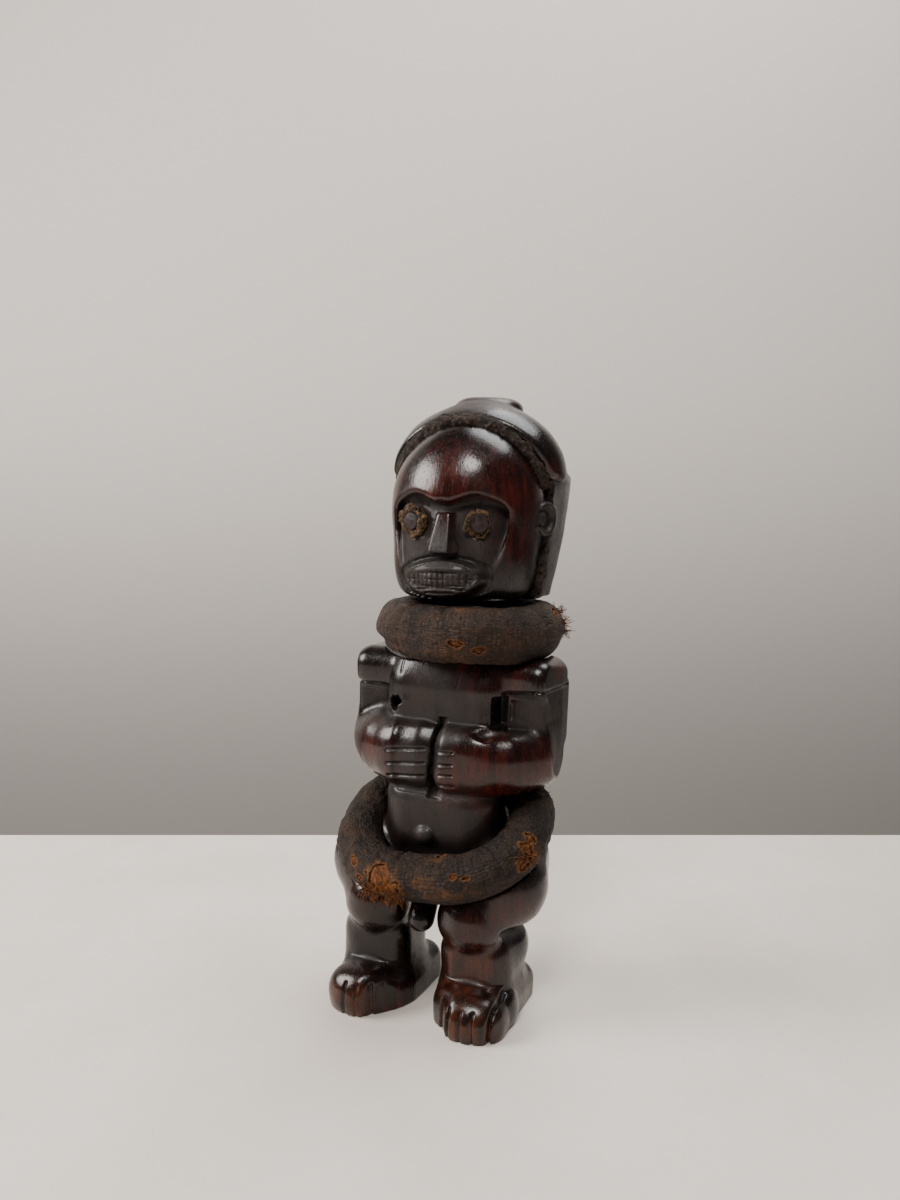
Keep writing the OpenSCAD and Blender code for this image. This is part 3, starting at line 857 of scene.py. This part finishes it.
def stuffed_ring(name, place, bend_r, straight, tube_r, swell, folds, openings, stains, seed, along, around):
    """The skin and the stuffing of a ring, the skin with its worn openings left out."""
    middle, out, s, v = tube_grid(bend_r, straight, along, around)
    length = 2 * math.pi * bend_r + 4 * straight
    turn = np.arctan2(out[..., 1], out[..., 0])
    points, way = tube_points(middle, out, v, np.full((along, around), tube_r))
    x, y, z = (points[..., i] for i in range(3))
    r = tube_r - 0.5 + swell(turn, v)
    r = r + 0.7 * lumps(x, y, z, 13, seed) + 0.5 * lumps(x, y, z, 6, seed + 1)
    r = r + 0.3 * lumps(x, y, z, 2.6, seed + 2) + 0.16 * lumps(x, y, z, 1.3, seed + 4)
    for share, depth, wide, slant in folds:
        wander = slant * np.sin(v) + 1.2 * lumps(x, y, z, 8, seed + 3)
        ds = (s - share * length + wander + length / 2) % length
        r = r - depth * np.exp(-(((ds - length / 2) / wide) ** 2))
    free = np.clip((np.sin(v) + 0.15) * 4, 0, 1) * np.clip((np.cos(v) - 0.2) * 4, 0, 1)
    r = np.minimum(r, tube_r + 0.35 + 1.6 * free)
    hole = hole_mask(openings, s, v, length, tube_r, points, seed + 5)
    lifted_rim = 0.3 * np.exp(-(((hole + 0.05) / 0.16) ** 2))
    skin_r = r + lifted_rim
    points, way = tube_points(middle, out, v, skin_r)
    faces = tube_faces(along, around)
    inside = (hole > 0).ravel()
    kept = faces[~inside[faces].all(1)]
    skin = new_mesh(name + " skin", points.reshape(-1, 3), kept, to_object @ place)
    paint(skin, "edge", np.exp(-((np.minimum(hole, 0).ravel() / 0.25) ** 2)))
    stain = hole_mask(stains, s, v, length, tube_r, points, seed + 9)
    paint(skin, "stain", stain.ravel() * 0.8 - 0.1)
    long_way = (s / length + 0 * v).ravel()
    round_way = (v / (2 * math.pi) + 0 * s).ravel()
    uv = skin.data.uv_layers.new(name="mm")
    corner = np.empty(len(skin.data.loops), np.int32)
    skin.data.loops.foreach_get("vertex_index", corner)
    uv_u, uv_v = long_way[corner], round_way[corner]
    first = np.repeat(uv_u.reshape(-1, 4)[:, 0], 4)
    uv_u = np.where(uv_u - first < -0.5, uv_u + 1, np.where(uv_u - first > 0.5, uv_u - 1, uv_u))
    first = np.repeat(uv_v.reshape(-1, 4)[:, 0], 4)
    uv_v = np.where(uv_v - first < -0.5, uv_v + 1, np.where(uv_v - first > 0.5, uv_v - 1, uv_v))
    in_mm = np.stack([uv_u * length, uv_v * 2 * math.pi * tube_r], 1)
    uv.data.foreach_set("uv", in_mm.astype(np.float32).ravel())
    thick = skin.modifiers.new("thickness", "SOLIDIFY")
    thick.thickness = 0.0009
    thick.offset = -1
    apply_modifiers(skin)
    fibre_r = r - 1.3 + 0.3 * lumps(x, y, z, 1.6, seed + 7)
    fibre_r = fibre_r + np.clip(hole + 0.25, 0, 1) * (1.4 + 0.9 * lumps(x, y, z, 1.4, seed + 8))
    fibre_points, _ = tube_points(middle, out, v, fibre_r)
    half_along, half_around = slice(0, along, 2), slice(0, around, 2)
    fewer = fibre_points[half_along, half_around].reshape(-1, 3)
    stuffing = new_mesh(name + " stuffing", fewer, tube_faces(along // 2, around // 2), to_object @ place)
    print(name, "skin has", len(skin.data.polygons), "faces")
    return skin, stuffing, points, way


# %% The neck ring
def neck_swell(turn, v):
    """Fuller to the figure's left, and pinched along its right side into two rolls."""
    at_left = np.exp(-(((turn + 0.3) / 0.9) ** 2))
    at_right = np.exp(-(((abs(turn) - math.pi + 0.1) / 0.8) ** 2))
    outer = np.clip(np.cos(v), 0, 1)
    below = v - 2 * math.pi * (v > math.pi)
    pinch = np.exp(-(((below + 0.45) / 0.2) ** 2))
    low_roll = np.exp(-(((below + 1.1) / 0.45) ** 2))
    outer_top = np.clip(np.cos(v - 1.0), 0, 1) ** 2
    rolls = 3.0 * pinch * at_right + 1.0 * low_roll * at_right
    return 1.2 * at_left * outer - rolls + 0.4 * outer + 1.5 * outer_top


fine_along, fine_around = ((620, 144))
NECK_FOLDS = [(0.03, 0.7, 1.4, 3), (0.12, 0.5, 1.1, -2), (0.21, 0.8, 1.5, 2), (0.33, 0.5, 1.2, 4),
              (0.44, 0.7, 1.4, -3), (0.56, 0.6, 1.1, 2), (0.68, 0.4, 1.0, -4), (0.81, 0.5, 1.2, 3),
              (0.93, 0.7, 1.3, -2)]
NECK_OPENINGS = [(0.04, -8, 4.6, 3.8), (0.078, -20, 4.2, 3.6), (0.262, 44, 5, 4), (0.62, -15, 4, 3)]
NECK_STAINS = [(0.05, 62, 12, 8), (0.26, 35, 16, 10), (0.03, -25, 20, 8), (0.60, 20, 20, 12)]
neck_skin, neck_stuffing, neck_points, neck_way = stuffed_ring(
    "neck ring", neck_frame, NECK_RING_R, 0.0, NECK_TUBE_R, neck_swell, NECK_FOLDS, NECK_OPENINGS,
    NECK_STAINS, 51, fine_along, fine_around,
)
print("the neck ring has", len(NECK_OPENINGS), "openings")

# %% The waist ring
def waist_swell(turn, v):
    """Fuller below at the front, flatter on top there, and thinner at the back."""
    front = np.exp(-(((turn + math.pi / 2) / 0.9) ** 2))
    back = np.exp(-(((turn - math.pi / 2) / 0.8) ** 2))
    outer_low = np.clip(np.cos(v + 1.0), 0, 1)
    return front * outer_low * 2.2 + 0.7 * np.clip(np.cos(v), 0, 1) - 1.4 * back


WAIST_FOLDS = [(0.02, 0.8, 1.3, 3), (0.10, 0.6, 1.2, -2), (0.19, 0.9, 1.5, 3), (0.30, 0.6, 1.0, 2),
               (0.42, 0.8, 1.4, -3), (0.53, 0.6, 1.2, 2), (0.61, 0.9, 1.5, 3), (0.72, 0.5, 1.2, -3),
               (0.84, 0.6, 1.2, 2), (0.92, 0.7, 1.2, -2)]
WAIST_OPENINGS = [
    (0.908, 36, 9, 11), (0.930, 12, 7, 8), (0.854, 44, 4, 3), (0.874, 20, 3, 2.5), (0.012, 118, 5, 3),
    (0.176, 46, 3.4, 6), (0.158, 28, 3.6, 8), (0.140, 12, 4.5, 5), (0.040, 48, 2.4, 2),
    (0.058, 40, 3, 2), (0.62, -10, 6, 5),
]
WAIST_STAINS = [
    (0.985, 36, 16, 9), (0.93, 20, 18, 16), (0.03, 5, 30, 10), (0.16, 30, 12, 16), (0.86, 40, 10, 8),
    (0.01, 100, 14, 8),
]
waist_skin, waist_stuffing, waist_points, waist_way = stuffed_ring(
    "waist ring", waist_frame, WAIST_BEND_R, WAIST_STRAIGHT, WAIST_TUBE_R, waist_swell, WAIST_FOLDS,
    WAIST_OPENINGS, WAIST_STAINS, 71, fine_along, fine_around,
)
for skin, stuffing, body, skin_node, stuffing_node, finish in (
    (neck_skin, neck_stuffing, "neck_ring", "neck_ring_skin", "neck_ring_stuffing", "scaly_skin"),
    (waist_skin, waist_stuffing, "waist_ring", "waist_ring_skin", "waist_ring_stuffing", "crusted_hide"),
):
    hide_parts(skin_node)
    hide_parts(stuffing_node)
    for piece in (skin, stuffing):
        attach(piece, body)

# %% [markdown]
# Each tube was closed with a row of overcast stitches in sinew, on the side away from the face.
# Where the skin has worn through, strands of the stuffing have pulled out and fray.

# %% Strands and stitches
def strands(name, lines, radius, place):
    """Thin tubes along lines, all in one piece, each tapered to its end."""
    points, faces, sides = [], [], 5
    for line in lines:
        line = np.asarray(line, float)
        start = len(points)
        for i, here in enumerate(line):
            way = line[min(i + 1, len(line) - 1)] - line[max(i - 1, 0)]
            way = way / (np.linalg.norm(way) + 1e-9)
            side = np.cross(way, (0.31, 0.52, 0.79))
            side = side / (np.linalg.norm(side) + 1e-9)
            other = np.cross(way, side)
            r = radius * (1 - 0.6 * i / (len(line) - 1))
            for k in range(sides):
                a = 2 * math.pi * k / sides
                points.append(here + r * (math.cos(a) * side + math.sin(a) * other))
        for i in range(len(line) - 1):
            for k in range(sides):
                a, b = start + i * sides + k, start + i * sides + (k + 1) % sides
                faces.append((a, b, b + sides, a + sides))
    return new_mesh(name, points, faces, place)


def stitches(points, way, share, angles):
    """Short slanted stitches over a seam that runs along the ring at one angle of the tube."""
    along, around = points.shape[:2]
    lines = []
    j = int(share * around) % around
    for i in angles:
        line = []
        for t in np.linspace(-1, 1, 7):
            a, b = (i + int(round(t * 2))) % along, (j + int(round(t * 5))) % around
            line.append(points[a, b] + way[a, b] * (0.3 * (1 - t * t) - 0.15))
        lines.append(line)
    return lines


def frayed(points, way, spots, count, reach, seed):
    """Wandering strands that leave the surface round some spots of the ring."""
    chance = np.random.default_rng(seed)
    along, around = points.shape[:2]
    lines = []
    for share, angle, spread in spots:
        for _ in range(count):
            i = int(share * along + chance.normal() * spread * 3) % along
            j = int(angle / 360 * around + chance.normal() * spread) % around
            here, go = points[i, j] - way[i, j] * 0.8, way[i, j] * 0.9 + chance.normal(size=3) * 0.75
            go[2] -= 0.35
            line = [here]
            for _ in range(5):
                go = go / np.linalg.norm(go) + chance.normal(size=3) * 0.45
                line.append(line[-1] + go / np.linalg.norm(go) * reach * chance.uniform(0.12, 0.3))
            lines.append(line)
    return lines


SEAM = 225 / 360
made_threads = []
for name, body, points, way, place in (
    ("neck ring", "neck_ring", neck_points, neck_way, to_object @ neck_frame),
    ("waist ring", "waist_ring", waist_points, waist_way, to_object @ waist_frame),
):
    every = range(0, points.shape[0], points.shape[0] // 48)
    thread = strands(name + " stitches", stitches(points, way, SEAM, every), 0.3, place)
    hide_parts(body + "_seam_thread")
    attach(thread, body)
    made_threads.append(thread)

NECK_SPOTS = [(0.30, 4, 1.6), (0.31, 40, 1.4), (0.285, 20, 1.6)]
WAIST_SPOTS = [(0.90, 10, 2.6), (0.885, -18, 2.4), (0.915, -30, 2.4), (0.935, 2, 2.0), (0.15, 18, 1.6)]
FLAP_SPOTS = [(0.275, 30, 1.2)]
neck_lines = frayed(neck_points, neck_way, NECK_SPOTS, 26, 5, 5)
neck_fray = strands("neck ring frayed ends", neck_lines, 0.2, to_object @ neck_frame)
waist_lines = frayed(waist_points, waist_way, WAIST_SPOTS, 46, 6, 6)
waist_lines += frayed(waist_points, waist_way, FLAP_SPOTS, 24, 2.5, 7)
waist_fray = strands("waist ring frayed ends", waist_lines, 0.22, to_object @ waist_frame)
for fray, body in ((neck_fray, "neck_ring"), (waist_fray, "waist_ring")):
    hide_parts(body + "_frayed_ends")
    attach(fray, body)
print(len(made_threads), "seams are stitched, and the worn ends fray")

# %% [markdown]
# ## Finishes
# Every finish is built from noise at the size it really has, in millimetres on the object.

# %% Helpers for the finishes
def rgb(code):
    """A colour from its hex code, in linear light."""
    parts = [int(code[i : i + 2], 16) / 255 for i in (1, 3, 5)]
    return tuple(c / 12.92 if c <= 0.04045 else ((c + 0.055) / 1.055) ** 2.4 for c in parts) + (1,)


def node(tree, kind, settings=None, links=None):
    """Adds a node, sets its properties and sockets, and links its inputs."""
    made = tree.nodes.new(kind)
    for key, value in (settings or {}).items():
        if isinstance(key, str) and hasattr(made, key):
            setattr(made, key, value)
        else:
            made.inputs[key].default_value = value
    for key, source in (links or {}).items():
        tree.links.new(source, made.inputs[key])
    return made


def noise(tree, place, scale, detail, roughness=0.5):
    """Cloudy noise at a place, from 0 to 1."""
    settings = {"Scale": scale, "Detail": detail, "Roughness": roughness}
    return node(tree, "ShaderNodeTexNoise", settings, {"Vector": place}).outputs[0]


def new_finish(name, roughness=0.5, specular=0.5):
    """A named finish with its surface shader."""
    finish = bpy.data.materials.new(name)
    finish.use_nodes = True
    shader = finish.node_tree.nodes["Principled BSDF"]
    shader.inputs["Roughness"].default_value = roughness
    shader.inputs["Specular IOR Level"].default_value = specular
    return finish, finish.node_tree, shader


def wear(piece, finish):
    """Puts a finish on a piece."""
    piece.data.materials.clear()
    piece.data.materials.append(finish)


# %% Oiled hardwood, worn red where hands have rubbed it
hardwood, tree, shader = new_finish("oiled hardwood rubbed to a dark gloss", 0.25, 0.36)
shader.inputs["Coat Weight"].default_value = 0.1
shader.inputs["Coat Roughness"].default_value = 0.1
shader.inputs["Coat IOR"].default_value = 1.5
place = node(tree, "ShaderNodeTexCoord").outputs["Object"]
pores_at = node(tree, "ShaderNodeMapping", {"Scale": (1300, 1300, 95)}, {"Vector": place}).outputs[0]
pores = noise(tree, pores_at, 1.0, 3.0, 0.6)
grain_at = node(tree, "ShaderNodeMapping", {"Scale": (330, 330, 22)}, {"Vector": place}).outputs[0]
grain = noise(tree, grain_at, 1.0, 4.0, 0.6)
mottle = noise(tree, place, 85.0, 5.0, 0.62)
grit = noise(tree, place, 750.0, 4.0, 0.65)
mask = {
    name: node(tree, "ShaderNodeAttribute", {"attribute_name": name}).outputs["Fac"]
    for name in ("rubbed", "hollow", "red", "worn", "dusty")
}


def ramp(tree, source, low, high, to_low=0.0, to_high=1.0):
    """Spreads a range of numbers over another range, smoothly."""
    return node(
        tree, "ShaderNodeMapRange",
        {
            "interpolation_type": "SMOOTHSTEP",
            "From Min": low, "From Max": high, "To Min": to_low, "To Max": to_high,
        },
        {"Value": source},
    ).outputs[0]


def both(tree, kind, a, b):
    """Adds, multiplies or otherwise joins two numbers."""
    made = node(tree, "ShaderNodeMath", {"operation": kind})
    for socket, value in zip(made.inputs, (a, b)):
        if isinstance(value, (int, float)):
            socket.default_value = value
        else:
            tree.links.new(value, socket)
    return made.outputs[0]


def mixed(tree, share, a, b):
    """Mixes two colours by a share."""
    made = node(tree, "ShaderNodeMix", {"data_type": "RGBA"})
    for socket, value in ((made.inputs[0], share), (made.inputs[6], a), (made.inputs[7], b)):
        if isinstance(value, str):
            socket.default_value = rgb(value)
        elif isinstance(value, (int, float)):
            socket.default_value = value
        else:
            tree.links.new(value, socket)
    return made.outputs[2]


streaks = ramp(tree, grain, 0.35, 0.68)
base = mixed(tree, streaks, "#0b0605", "#1a0d09")
red_share = both(tree, "MULTIPLY", mask["red"], ramp(tree, mottle, 0.25, 0.6, 0.45, 1.0))
base = mixed(tree, red_share, base, mixed(tree, streaks, "#240805", "#451209"))
worn_share = both(tree, "MULTIPLY", mask["worn"], ramp(tree, mottle, 0.35, 0.62, 0.2, 1.0))
base = mixed(tree, worn_share, base, mixed(tree, streaks, "#30150a", "#5c2e15"))
dust_share = both(tree, "MULTIPLY", mask["dusty"], ramp(tree, grit, 0.3, 0.62, 0.45, 1.0))
base = mixed(tree, dust_share, base, mixed(tree, ramp(tree, mottle, 0.35, 0.65), "#17100d", "#2b1f1a"))
# Painted shade: the hollows are darkened towards near black.
base = mixed(tree, both(tree, "MULTIPLY", mask["hollow"], 0.7), base, "#0b0706")
pore_dark = ramp(tree, pores, 0.30, 0.44, 1.0, 0.0)
base = mixed(tree, both(tree, "MULTIPLY", pore_dark, 0.75), base, "#080505")
tree.links.new(base, shader.inputs["Base Color"])
rough = ramp(tree, mottle, 0.3, 0.7, 0.17, 0.30)
rough = both(tree, "ADD", rough, both(tree, "MULTIPLY", mask["dusty"], 0.55))
rough = both(tree, "ADD", rough, both(tree, "MULTIPLY", mask["hollow"], 0.3))
rough = both(tree, "ADD", rough, both(tree, "MULTIPLY", pore_dark, 0.25))
tree.links.new(rough, shader.inputs["Roughness"])
pore_bump = node(tree, "ShaderNodeBump", {"Strength": 0.35, "Distance": 0.00025}, {"Height": pores})
grit_height = both(tree, "MULTIPLY", grit, ramp(tree, mask["dusty"], 0.0, 0.8, 0.15, 1.0))
grit_bump = node(
    tree, "ShaderNodeBump", {"Strength": 0.45, "Distance": 0.0006},
    {"Height": grit_height, "Normal": pore_bump.outputs[0]},
)
tree.links.new(grit_bump.outputs[0], shader.inputs["Normal"])
wear(figure, hardwood)
print(figure.name, "wears", hardwood.name)

# %% Dark seeds, with a dull skin
seed_skin, tree, shader = new_finish("dry seed with a dull skin", 0.5, 0.3)
place = node(tree, "ShaderNodeTexCoord").outputs["Object"]
spots = noise(tree, place, 520.0, 4.0)
tree.links.new(mixed(tree, ramp(tree, spots, 0.35, 0.65), "#140a09", "#29191a"), shader.inputs["Base Color"])
tree.links.new(ramp(tree, spots, 0.35, 0.65, 0.42, 0.65), shader.inputs["Roughness"])
bump = node(tree, "ShaderNodeBump", {"Strength": 0.3, "Distance": 0.0003}, {"Height": spots})
tree.links.new(bump.outputs[0], shader.inputs["Normal"])
for seed in seeds:
    wear(seed, seed_skin)
print(len(seeds), "seeds wear", seed_skin.name)

# %% Crumbly resin, ochre in the eyes and smoke-dark along the hair
def resin_finish(name, dark, mid, light):
    """Matt resin whose grains differ in colour."""
    finish, tree, shader = new_finish(name, 0.85, 0.3)
    place = node(tree, "ShaderNodeTexCoord").outputs["Object"]
    big = noise(tree, place, 260.0, 5.0, 0.65)
    small = node(tree, "ShaderNodeTexVoronoi", {"Scale": 1000.0}, {"Vector": place})
    colour = mixed(tree, ramp(tree, big, 0.35, 0.62), dark, mid)
    colour = mixed(tree, ramp(tree, small.outputs["Color"], 0.55, 0.8), colour, light)
    tree.links.new(colour, shader.inputs["Base Color"])
    height = both(tree, "ADD", big, both(tree, "MULTIPLY", small.outputs["Distance"], 0.6))
    bump = node(tree, "ShaderNodeBump", {"Strength": 0.7, "Distance": 0.0006}, {"Height": height})
    tree.links.new(bump.outputs[0], shader.inputs["Normal"])
    return finish


ochre = resin_finish("dried ochre resin", "#1d140f", "#44321f", "#5f462e")
smoky = resin_finish("smoke-dark resin", "#100b09", "#211813", "#382a20")
for bed in beds:
    wear(bed, ochre)
wear(hairline, smoky)
print("the resins are", ochre.name, "and", smoky.name)

# %% The two skins
def skin_finish(name, dark, mid, pale, rust, scale_mm, shine):
    """Old dry skin: fine scales or grain over blotches, with a rusty worn edge at each opening."""
    finish, tree, shader = new_finish(name, shine, 0.25)
    place = node(tree, "ShaderNodeTexCoord").outputs["Object"]
    flat = node(tree, "ShaderNodeUVMap", {"uv_map": "mm"}).outputs[0]
    cell_size = {"Scale": (1 / scale_mm, 1.25 / scale_mm, 1)}
    cells_at = node(tree, "ShaderNodeMapping", cell_size, {"Vector": flat}).outputs[0]
    cells = node(tree, "ShaderNodeTexVoronoi", {"Scale": 1.0, "Randomness": 0.55}, {"Vector": cells_at})
    blotch = noise(tree, place, 75.0, 6.0, 0.65)
    crust = noise(tree, place, 420.0, 6.0, 0.7)
    speck = noise(tree, place, 1300.0, 2.0)
    edge = node(tree, "ShaderNodeAttribute", {"attribute_name": "edge"}).outputs["Fac"]
    stain = node(tree, "ShaderNodeAttribute", {"attribute_name": "stain"}).outputs["Fac"]
    colour = mixed(tree, ramp(tree, blotch, 0.35, 0.65), dark, mid)
    colour = mixed(tree, both(tree, "MULTIPLY", ramp(tree, crust, 0.55, 0.75), 0.7), colour, pale)
    colour = mixed(tree, both(tree, "MULTIPLY", ramp(tree, speck, 0.62, 0.72), 0.6), colour, pale)
    gaps = ramp(tree, cells.outputs["Distance"], 0.35, 0.75)
    colour = mixed(tree, both(tree, "MULTIPLY", gaps, 0.75), colour, "#080504")
    rusty = both(tree, "MULTIPLY", ramp(tree, blotch, 0.58, 0.74), ramp(tree, crust, 0.42, 0.6))
    stained = both(tree, "MULTIPLY", stain, ramp(tree, crust, 0.42, 0.62, 0.1, 0.8))
    rusty = both(tree, "MAXIMUM", both(tree, "MULTIPLY", rusty, 0.45), both(tree, "MULTIPLY", edge, 0.6))
    rusty = both(tree, "MAXIMUM", rusty, stained)
    colour = mixed(tree, rusty, colour, rust)
    tree.links.new(colour, shader.inputs["Base Color"])
    tree.links.new(ramp(tree, crust, 0.35, 0.7, shine - 0.08, shine + 0.2), shader.inputs["Roughness"])
    height = both(tree, "ADD", crust, both(tree, "MULTIPLY", cells.outputs["Distance"], -0.55))
    bump = node(tree, "ShaderNodeBump", {"Strength": 1.0, "Distance": 0.0014}, {"Height": height})
    tree.links.new(bump.outputs[0], shader.inputs["Normal"])
    return finish


scaly = skin_finish("dry scaly skin", "#1a110b", "#3a2618", "#6a4e38", "#6b4223", 1.3, 0.5)
crusted = skin_finish("crusted old hide", "#160e09", "#302015", "#54402f", "#734822", 1.7, 0.6)
wear(neck_skin, scaly)
wear(waist_skin, crusted)
print("the skins are", scaly.name, "and", crusted.name)

# %% Plant fibre and sinew
fibre, tree, shader = new_finish("rusty plant fibre", 0.85, 0.25)
place = node(tree, "ShaderNodeTexCoord").outputs["Object"]
drawn_out = {"Scale": (900, 350, 700), "Rotation": (0.4, 0.2, 0.7)}
wisps_at = node(tree, "ShaderNodeMapping", drawn_out, {"Vector": place}).outputs[0]
wisps = noise(tree, wisps_at, 1.0, 5.0, 0.7)
clumps = noise(tree, place, 160.0, 3.0)
colour = mixed(tree, ramp(tree, wisps, 0.35, 0.65), "#2a180d", "#7d4a1f")
colour = mixed(tree, both(tree, "MULTIPLY", ramp(tree, clumps, 0.5, 0.7), 0.6), colour, "#3a2114")
tree.links.new(colour, shader.inputs["Base Color"])
bump = node(tree, "ShaderNodeBump", {"Strength": 0.9, "Distance": 0.0009}, {"Height": wisps})
tree.links.new(bump.outputs[0], shader.inputs["Normal"])
for piece in (neck_stuffing, waist_stuffing, neck_fray, waist_fray):
    wear(piece, fibre)

sinew, tree, shader = new_finish("twisted sinew", 0.55, 0.4)
place = node(tree, "ShaderNodeTexCoord").outputs["Object"]
twist = noise(tree, place, 900.0, 3.0)
tree.links.new(mixed(tree, ramp(tree, twist, 0.35, 0.65), "#3a2c20", "#6d5a42"), shader.inputs["Base Color"])
bump = node(tree, "ShaderNodeBump", {"Strength": 0.5, "Distance": 0.0003}, {"Height": twist})
tree.links.new(bump.outputs[0], shader.inputs["Normal"])
for piece in made_threads:
    wear(piece, sinew)
print("the last finishes are", fibre.name, "and", sinew.name)

# %% [markdown]
# ## The studio
# A pale plinth with a straight back edge, and a pale wall well behind it, painted darker downwards as
# painted shade.
# A large soft light stands to the figure's right and a smaller one above the camera:
# they make the two soft reflections on the forehead.

# %% The plinth and the wall
forward = Vector((-math.sin(VIEW_TURN), math.cos(VIEW_TURN), 0))
rightward = Vector((math.cos(VIEW_TURN), math.sin(VIEW_TURN), 0))
start = Vector((shift.x, shift.y, 0))


def slab(name, corners_at, thickness_mm):
    """A thick plate from its four top corners in mm."""
    top = [Vector(c) for c in corners_at]
    points = [tuple(c) for c in top] + [tuple(c - Vector((0, 0, thickness_mm))) for c in top]
    faces = [(0, 1, 2, 3), (7, 6, 5, 4), (0, 4, 5, 1), (1, 5, 6, 2), (2, 6, 7, 3), (3, 7, 4, 0)]
    made = new_mesh(name, points, faces, Matrix.Scale(0.001, 4), smooth=False)
    return made


near, far, half = -900.0, 201.0, 900.0
edges = [(-half, near), (half, near), (half, far), (-half, far)]
plinth = slab("plinth", [start + rightward * a + forward * b for a, b in edges], 60)
wall_far, wall_half = 900.0, 2600.0
foot_left = start + forward * wall_far - rightward * wall_half
foot_right = start + forward * wall_far + rightward * wall_half
wall = new_mesh(
    "wall",
    [
        tuple(foot_left + Vector((0, 0, -900))), tuple(foot_right + Vector((0, 0, -900))),
        tuple(foot_right + Vector((0, 0, 1800))), tuple(foot_left + Vector((0, 0, 1800))),
    ],
    [(0, 1, 2, 3)], Matrix.Scale(0.001, 4), smooth=False,
)

plinth_paint, tree, shader = new_finish("plinth paint with small marks", 0.6, 0.35)
place = node(tree, "ShaderNodeTexCoord").outputs["Object"]
clouds = noise(tree, place, 14.0, 4.0)
flecks = noise(tree, place, 160.0, 3.0, 0.7)
colour = mixed(tree, ramp(tree, clouds, 0.3, 0.7), "#d0c7be", "#d8cfc7")
colour = mixed(tree, both(tree, "MULTIPLY", ramp(tree, flecks, 0.70, 0.76), 0.5), colour, "#8f877f")
tree.links.new(colour, shader.inputs["Base Color"])
wear(plinth, plinth_paint)

wall_with_painted_shade, tree, shader = new_finish("wall paint with painted shade below", 0.9, 0.1)
place = node(tree, "ShaderNodeTexCoord").outputs["Object"]
height = node(tree, "ShaderNodeSeparateXYZ", {}, {"Vector": place}).outputs["Z"]
# Painted shade: the wall's colour darkens towards the bottom.
colour = mixed(tree, ramp(tree, height, -0.25, 0.45), "#a59f99", "#e2dad3")
tree.links.new(colour, shader.inputs["Base Color"])
wear(wall, wall_with_painted_shade)
print("the wall is", wall_far, "mm behind the figure")

# %% The lights
def soft_light(name, way, distance, wide, high, power, colour=(1, 1, 1)):
    """A soft light that looks at the figure's chest."""
    data = bpy.data.lights.new(name, "AREA")
    data.shape = "ELLIPSE"
    data.size, data.size_y = wide, high
    data.energy = power
    data.color = colour
    made = bpy.data.objects.new(name, data)
    target = Vector((0, 0, 0.16))
    made.location = target + Vector(way).normalized() * distance
    made.rotation_euler = (target - made.location).to_track_quat("-Z", "Y").to_euler()
    bpy.context.scene.collection.objects.link(made)
    return made


soft_light("large soft light", (-0.78, -0.42, 0.47), 1.3, 0.72, 0.72, 24, (1.0, 0.96, 0.92))
soft_light("small soft light", (0.12, -0.62, 0.77), 1.3, 0.4, 0.45, 13, (1.0, 0.97, 0.93))
soft_light("wall light", (0.2, 0.35, 1.0), 1.5, 1.2, 0.8, 22)
world = bpy.data.worlds.new("studio")
world.use_nodes = True
world.node_tree.nodes["Background"].inputs["Color"].default_value = (0.95, 0.97, 1.0, 1)
world.node_tree.nodes["Background"].inputs["Strength"].default_value = 0.1
bpy.context.scene.world = world
